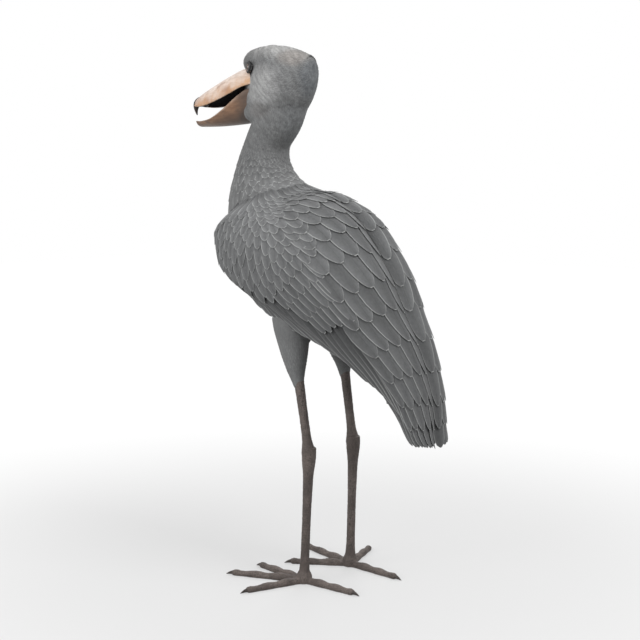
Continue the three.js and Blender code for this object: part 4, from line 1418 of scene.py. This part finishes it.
def nail():
    """The hook: a quadratic curve a (1 - t)^2 + 2 b t (1 - t) + c t^2 with a shrinking radius."""
    a, b, c = np.array(NAIL_MARKS, float)
    t = np.linspace(0, 1, 50)[:, None]
    path = a * (1 - t) ** 2 + 2 * b * t * (1 - t) + c * t**2
    return capped(limb(path, mix(*NAIL_RADII, t[:, 0] ** 1.5)))


def plain_horn(name, shape):
    """A mesh for a horn material, whose darkening and warmth are both zero."""
    zero = np.zeros(len(shape[0]))
    return with_values(new_mesh(name, *shape), stain=zero, warmth=zero)


show("bill_nail", plain_horn("bill_nail", nail()), NAIL_HORN, "bill", "upper_bill")

# %% [markdown]
# ## Eyes
# A dark eye under a low brow: a wet ball with a deep brown iris, in a ring of bare lid skin. A
# picture of an iris would blur close up. Instead each point of the ball stores its cosine to the
# gaze, and two narrow ramps of that number draw the pupil and the iris' rim. A coat gives the
# wet shine, and the lid is a swollen ring with fine folds.

# %% Eyes and lids
LOOK = np.array([0.8, -0.58, 0.12])
LOOK = LOOK / np.linalg.norm(LOOK)
IRIS_FADE = (0.70, 0.74)
PUPIL_FADE = (0.925, 0.935)


def eye_material():
    """Wet ball: dark round a brown iris with a black pupil, by the stored cosine to the gaze."""
    material, body, nodes = shader("eye_wet", {"Roughness": 0.08, "Coat Weight": 0.6, "Coat Roughness": 0.03})
    gaze = nodes.own("gaze")
    iris = nodes.tint(nodes.grain(nodes.place(), 900), (0.03, 0.014, 0.008), (0.09, 0.045, 0.025))
    tint = nodes.tint(nodes.ramp(gaze, *IRIS_FADE), (0.012, 0.011, 0.011), iris)
    nodes.feed(body["Base Color"], nodes.tint(nodes.ramp(gaze, *PUPIL_FADE), tint, (0.002, 0.002, 0.002)))
    return material


def lid_material():
    """Bare dark skin with fine folds."""
    material, body, nodes = shader("lid_skin", {"Roughness": 0.6})
    folds = nodes.grain(nodes.place(), 700, 4)
    nodes.feed(body["Base Color"], nodes.tint(folds, (0.014, 0.014, 0.015), (0.035, 0.035, 0.036)))
    nodes.bump(body, folds, 0.6, 0.0005)
    return material


EYE_WET = eye_material()
LID_SKIN = lid_material()


def facing(points, look):
    """Points turned so that +Z becomes look, X becomes its side and Y its up."""
    side = np.cross(look, [0, 0, 1.0])
    side /= np.linalg.norm(side)
    up = np.cross(side, look)
    return points[..., :1] * side + points[..., 1:2] * up + points[..., 2:] * look


def eyeball(name, way):
    """A ball with a slight bulge in front, a hair smaller than the solid's. Each point stores
    its cosine to the gaze."""
    unit = sphere(40, 48, 0.02)
    bulge = 1 + 0.05 * smoothstep(unit[..., 2:], 0.72, 0.9)
    rings = facing(unit * bulge * (EYE_RADIUS - 0.3), LOOK * [way, 1, 1]) + EYE * [way, 1, 1]
    gaze = np.concatenate([unit[..., 2].ravel(), [1, -1]])
    return with_values(new_mesh(name, *capped(rings)), gaze=gaze)


LID_ROWS = 96
LID_COLUMNS = 16
LID_FOLDS = 34


def lid_ring(name, way):
    """A swollen ring round the eye, with fine folds across it and a drooping upper lid: centre
    circle of radius r, cross-section 0.8 thick cos p outwards and 0.9 thick sin p forwards."""
    t = np.linspace(0, 2 * np.pi, LID_ROWS, endpoint=False)[:, None]
    p = np.linspace(0, 2 * np.pi, LID_COLUMNS, endpoint=False)[None, :]
    upper = smoothstep(np.sin(t), 0.1, 0.9)
    thick = (2.6 + 1.2 * upper) * (1 + 0.07 * np.sin(t * LID_FOLDS))
    out = 11.2 - 1.5 * upper + 0.8 * thick * np.cos(p)
    flat = np.stack([out * np.cos(t), out * np.sin(t), 5.2 + thick * 0.9 * np.sin(p)], -1)
    points = (facing(flat, LOOK * [way, 1, 1]) + EYE * [way, 1, 1]).reshape(-1, 3)
    quads = grid_quads(LID_ROWS + 1, LID_COLUMNS, closed=True) % len(points)
    return new_mesh(name, points, outward(points - points.mean(0), quads))


for side, way in (("l", 1), ("r", -1)):
    show(f"eyeball_{side}", eyeball(f"eyeball_{side}", way), EYE_WET, "eye", f"eye_{side}")
    show(f"lid_{side}", lid_ring(f"lid_{side}", way), LID_SKIN, "scaled_skin", "head")

# %% [markdown]
# ## Legs and feet
# The bare legs are covered with small flat scales, round the swollen ankle too, and the long
# toes carry a row of broader plates. Single scales would be thousands of pieces too small to
# see. Fused tubes give the form, each point is then raised where it lies inside a cell of cell
# noise, and finer cells in the material darken the grooves.

# %% Scaled skin material
def scale_material():
    """Brown skin in broad darker and lighter parts, with dark grooves between its scales."""
    material, body, nodes = shader("leg_scales", {"Roughness": 0.62})
    place = nodes.place()
    cells = nodes.add("ShaderNodeTexVoronoi", {"Vector": place, "Scale": 330}, feature="DISTANCE_TO_EDGE")
    plates = nodes.ramp(cells.outputs["Distance"], 0.02, 0.14)
    broad = nodes.ramp(nodes.grain(place, 24, 4, 0.6), 0.35, 0.7)
    tint = nodes.tint(broad, (0.082, 0.063, 0.055), (0.165, 0.132, 0.116))
    nodes.feed(body["Base Color"], nodes.tint(plates, (0.035, 0.028, 0.025), tint))
    nodes.bump(body, plates, 0.5, 0.0006)
    return material


LEG_SCALES = scale_material()
CLAW_HORN = horn(
    "claw_horn", (0.055, 0.045, 0.04), (0.035, 0.03, 0.027), (0.02, 0.017, 0.015), (0.02, 0.02, 0.02), 0.4
)
print("leg materials:", LEG_SCALES.name, CLAW_HORN.name)

# %% Leg shapes
# Radii of shin, tarsus and heel in millimetres, each with its marks: a share of the bone's
# length, or a height over the floor for the heel.
SHIN = ([0, 0.3, 0.55, 0.76, 0.86, 0.94, 1], [10.5, 9.6, 9.2, 9.6, 12.5, 15.5, 14])
TARSUS = ([0, 0.05, 0.12, 0.2, 0.5, 0.84, 0.95, 1], [14, 15.5, 14, 10.8, 9, 9, 10.5, 13.5])
HEEL = ([1, 10, 16, 24], [16, 17, 16.5, 13])
ANKLE_RADII = (13.5, 15.5, 19)
BONE_COLUMNS = 36
TOE_PLATE = 5.2
LEG_VOXEL = 1.7
LEG_ROUNDS = 2
CELL_SIZE = 4.6
RELIEF = 0.55


def shank(top, end, shares, radii):
    """A straight bone's flesh from top to end with radii at the shares, evened out as a mean
    over nine rows."""
    at = np.linspace(shares[0], shares[-1], 90)
    path = mix(np.array(top, float), np.array(end, float), at[:, None])
    radii = np.pad(np.interp(at, shares, radii), 4, mode="edge")
    return capped(limb(path, np.convolve(radii, np.ones(9) / 9, mode="valid"), BONE_COLUMNS))


def heel(foot):
    """The pad under the leg, in which the toes meet."""
    z = np.linspace(24, 1, 20)
    path = np.stack([foot[0] + 0 * z, foot[1] + 0 * z, z], -1)
    return capped(limb(path, np.interp(z, *HEEL), BONE_COLUMNS))


def heading_way(heading):
    """A toe's turn in radians and its unit direction (sin turn, -cos turn, 0)."""
    turn = np.radians(heading)
    return turn, np.array([np.sin(turn), -np.cos(turn), 0])


def toe(foot, length, heading):
    """A toe with a swelling pad under each joint, raised plates on top as |sin|^0.5 of the
    distance, and a rounded end."""
    turn, ahead = heading_way(heading)
    share = np.linspace(0, 1, 130)
    radius = mix(8.5, 6.4, share) * (1 + 0.1 * np.cos(share * 6 * np.pi))
    radius = radius * np.sqrt(np.clip(1 - ((share - 0.94) / 0.085) ** 2, 0.35, 1)) ** (share > 0.94)
    path = np.array(foot, float) * [1, 1, 0] + share[:, None] * length * ahead
    path[:, 2] = radius * 0.74
    angle = np.linspace(0, 2 * np.pi, 32, endpoint=False)
    plates = RELIEF * abs(np.sin(share[:, None] * np.pi * length / TOE_PLATE)) ** 0.5
    over = smoothstep(np.sin(angle), 0.1, 0.7)[None, :]
    return capped(limb(path, radius[:, None] + plates * over, turn=turn))


def cell_plates(points, size):
    """Cell noise: 1 in the middle of a cell and 0 at its border, from the distances to the
    nearest and second nearest of one random point in each cube of the given size. A cube's
    point comes from the remainders of products of its number with large odd numbers."""
    cell = np.floor(points / size).astype(int)
    best = np.full((2, len(points)), 9.0)
    for step in np.ndindex(3, 3, 3):
        near = cell + np.array(step) - 1
        mixed = (near * [73856093, 19349663, 83492791]).sum(1) & 0xFFFFFF
        seed = np.stack([(mixed * k % 10007) / 10007 for k in (31, 57, 91)], -1)
        far = np.linalg.norm(points / size - near - seed, axis=1)
        best[1] = np.minimum(best[1], np.maximum(best[0], far))
        best[0] = np.minimum(best[0], far)
    return smoothstep(best[1] - best[0], 0.02, 0.3)


def leg_mesh(leg):
    """Shin, tarsus, ankle, heel and toes fused, and raised by the relief of their scales."""
    thigh_end, ankle, foot = (np.array(leg[k], float) for k in ("thigh_end", "ankle", "foot"))
    forms = [
        shank(thigh_end + [0, 0, 14], ankle - [0, 0, 12], *SHIN),
        shank(ankle + [0, 0, 10], foot, *TARSUS),
        heel(foot),
        ball(ankle + [0, -2, -2], ANKLE_RADII),
    ]
    forms += [toe(foot, *plan) for plan in leg["toes"].values()]
    mesh = remeshed("leg", joined(forms), LEG_VOXEL, LEG_ROUNDS)
    points = points_of(mesh)
    normal = np.zeros(len(points) * 3, np.float32)
    mesh.vertex_normals.foreach_get("vector", normal)
    raised = points + normal.reshape(-1, 3) * cell_plates(points, CELL_SIZE)[:, None] * RELIEF
    raised[:, 2] = np.maximum(raised[:, 2], 0)
    move_points(mesh, raised)
    return mesh


def claws(leg):
    """Four short curved claws, each a tapering tube that bends down to the floor."""
    forms = []
    share = np.linspace(-0.25, 1, 30)
    grown = np.clip(share, 0, 1)
    for length, heading in leg["toes"].values():
        turn, ahead = heading_way(heading)
        path = np.array(leg["foot"], float) * [1, 1, 0] + (length + 0.3 + share[:, None] * 15) * ahead
        path[:, 2] = 5.2 - 4.3 * grown**1.6
        forms.append(capped(limb(path, mix(4.1, 0.6, grown**1.3), 20, turn)))
    points, quads, tris = joined(forms)
    points[:, 2] = np.maximum(points[:, 2], 0)
    return points, quads, tris


for side, leg in LEGS.items():
    toes, nails = ([f"{kind}_{name}_{side}" for name in leg["toes"]] for kind in ("toe", "claw"))
    bones = [f"shin_{side}", f"tarsus_{side}"]
    show(f"leg_skin_{side}", leg_mesh(leg), LEG_SCALES, "scaled_skin", *bones, *toes)
    show(f"claws_{side}", plain_horn(f"claws_{side}", claws(leg)), CLAW_HORN, "claw", *nails)

# %% [markdown]
# ## Background and floor
# A studio's backdrop is a sheet that curves up behind the object. A flat sheet does as well if
# the background has the same white where the two meet: the sheet shines by itself more and more
# with distance, and the camera sees plain white behind it. The background lights the bird more
# from above than from below, as a room with a bright ceiling does.

# %% Background
SKY_ABOVE = 0.76
SKY_BELOW = 0.22
SKY_FADE = (-0.5, 0.6)


def studio_world():
    """Background whose light grows from below to above, and which is white for the camera."""
    world = bpy.data.worlds.new("studio")
    world.use_nodes = True
    nodes = Nodes(world.node_tree)
    split = nodes.add("ShaderNodeSeparateXYZ", {0: nodes.add("ShaderNodeTexCoord").outputs["Generated"]})
    fade = nodes.add("ShaderNodeMapRange", {
        "Value": split.outputs["Z"], "From Min": SKY_FADE[0], "From Max": SKY_FADE[1],
        "To Min": SKY_BELOW, "To Max": SKY_ABOVE,
    }).outputs["Result"]
    seen = nodes.add("ShaderNodeLightPath").outputs["Is Camera Ray"]
    strength = nodes.add("ShaderNodeMix", {"Factor": seen, "A": fade, "B": 1.0}).outputs["Result"]
    sky = world.node_tree.nodes["Background"].inputs
    nodes.feed(sky["Color"], (1.0, 1.0, 1.0))
    nodes.feed(sky["Strength"], strength)
    return world


bpy.context.scene.world = studio_world()
print("background from", SKY_BELOW, "below to", SKY_ABOVE, "above")

# %% Floor
FLOOR_NEAR = (0.26, 0.26, 0.26)
FLOOR_FAR = (0.0, 0.0, 0.0)
FLOOR_GLOW = 0.44
FLOOR_FADE = (0.35, 1.7)
FLOOR_REACH = 9000
FLOOR_LOW = -0.2


def floor_material():
    """Pale sheet that shines by itself with distance, so that it melts into the background."""
    material, body, nodes = shader("floor_pale", {
        "Roughness": 0.95, "Specular IOR Level": 0.1, "Emission Color": (1.0, 1.0, 1.0),
    })
    off = nodes.vector("SUBTRACT", nodes.place(), [value / 1000 for value in SHIFT])[0]
    far = nodes.vector("LENGTH", off)["Value"]
    nodes.feed(body["Base Color"], nodes.tint(nodes.ramp(far, *FLOOR_FADE), FLOOR_NEAR, FLOOR_FAR))
    nodes.feed(body["Emission Strength"], nodes.ramp(far, *FLOOR_FADE, FLOOR_GLOW, 1.0))
    return material


corners = np.array([[-1, -1], [1, -1], [1, 1], [-1, 1]]) * FLOOR_REACH
floor_mesh = new_mesh("floor", np.column_stack([corners, np.full(4, FLOOR_LOW)]), [[0, 1, 2, 3]])
floor_mesh.materials.append(floor_material())
floor = bpy.data.objects.new("floor", floor_mesh)
floor.visible_diffuse = False
bpy.context.scene.collection.objects.link(floor)
print("floor of", 2 * FLOOR_REACH / 1000, "m")
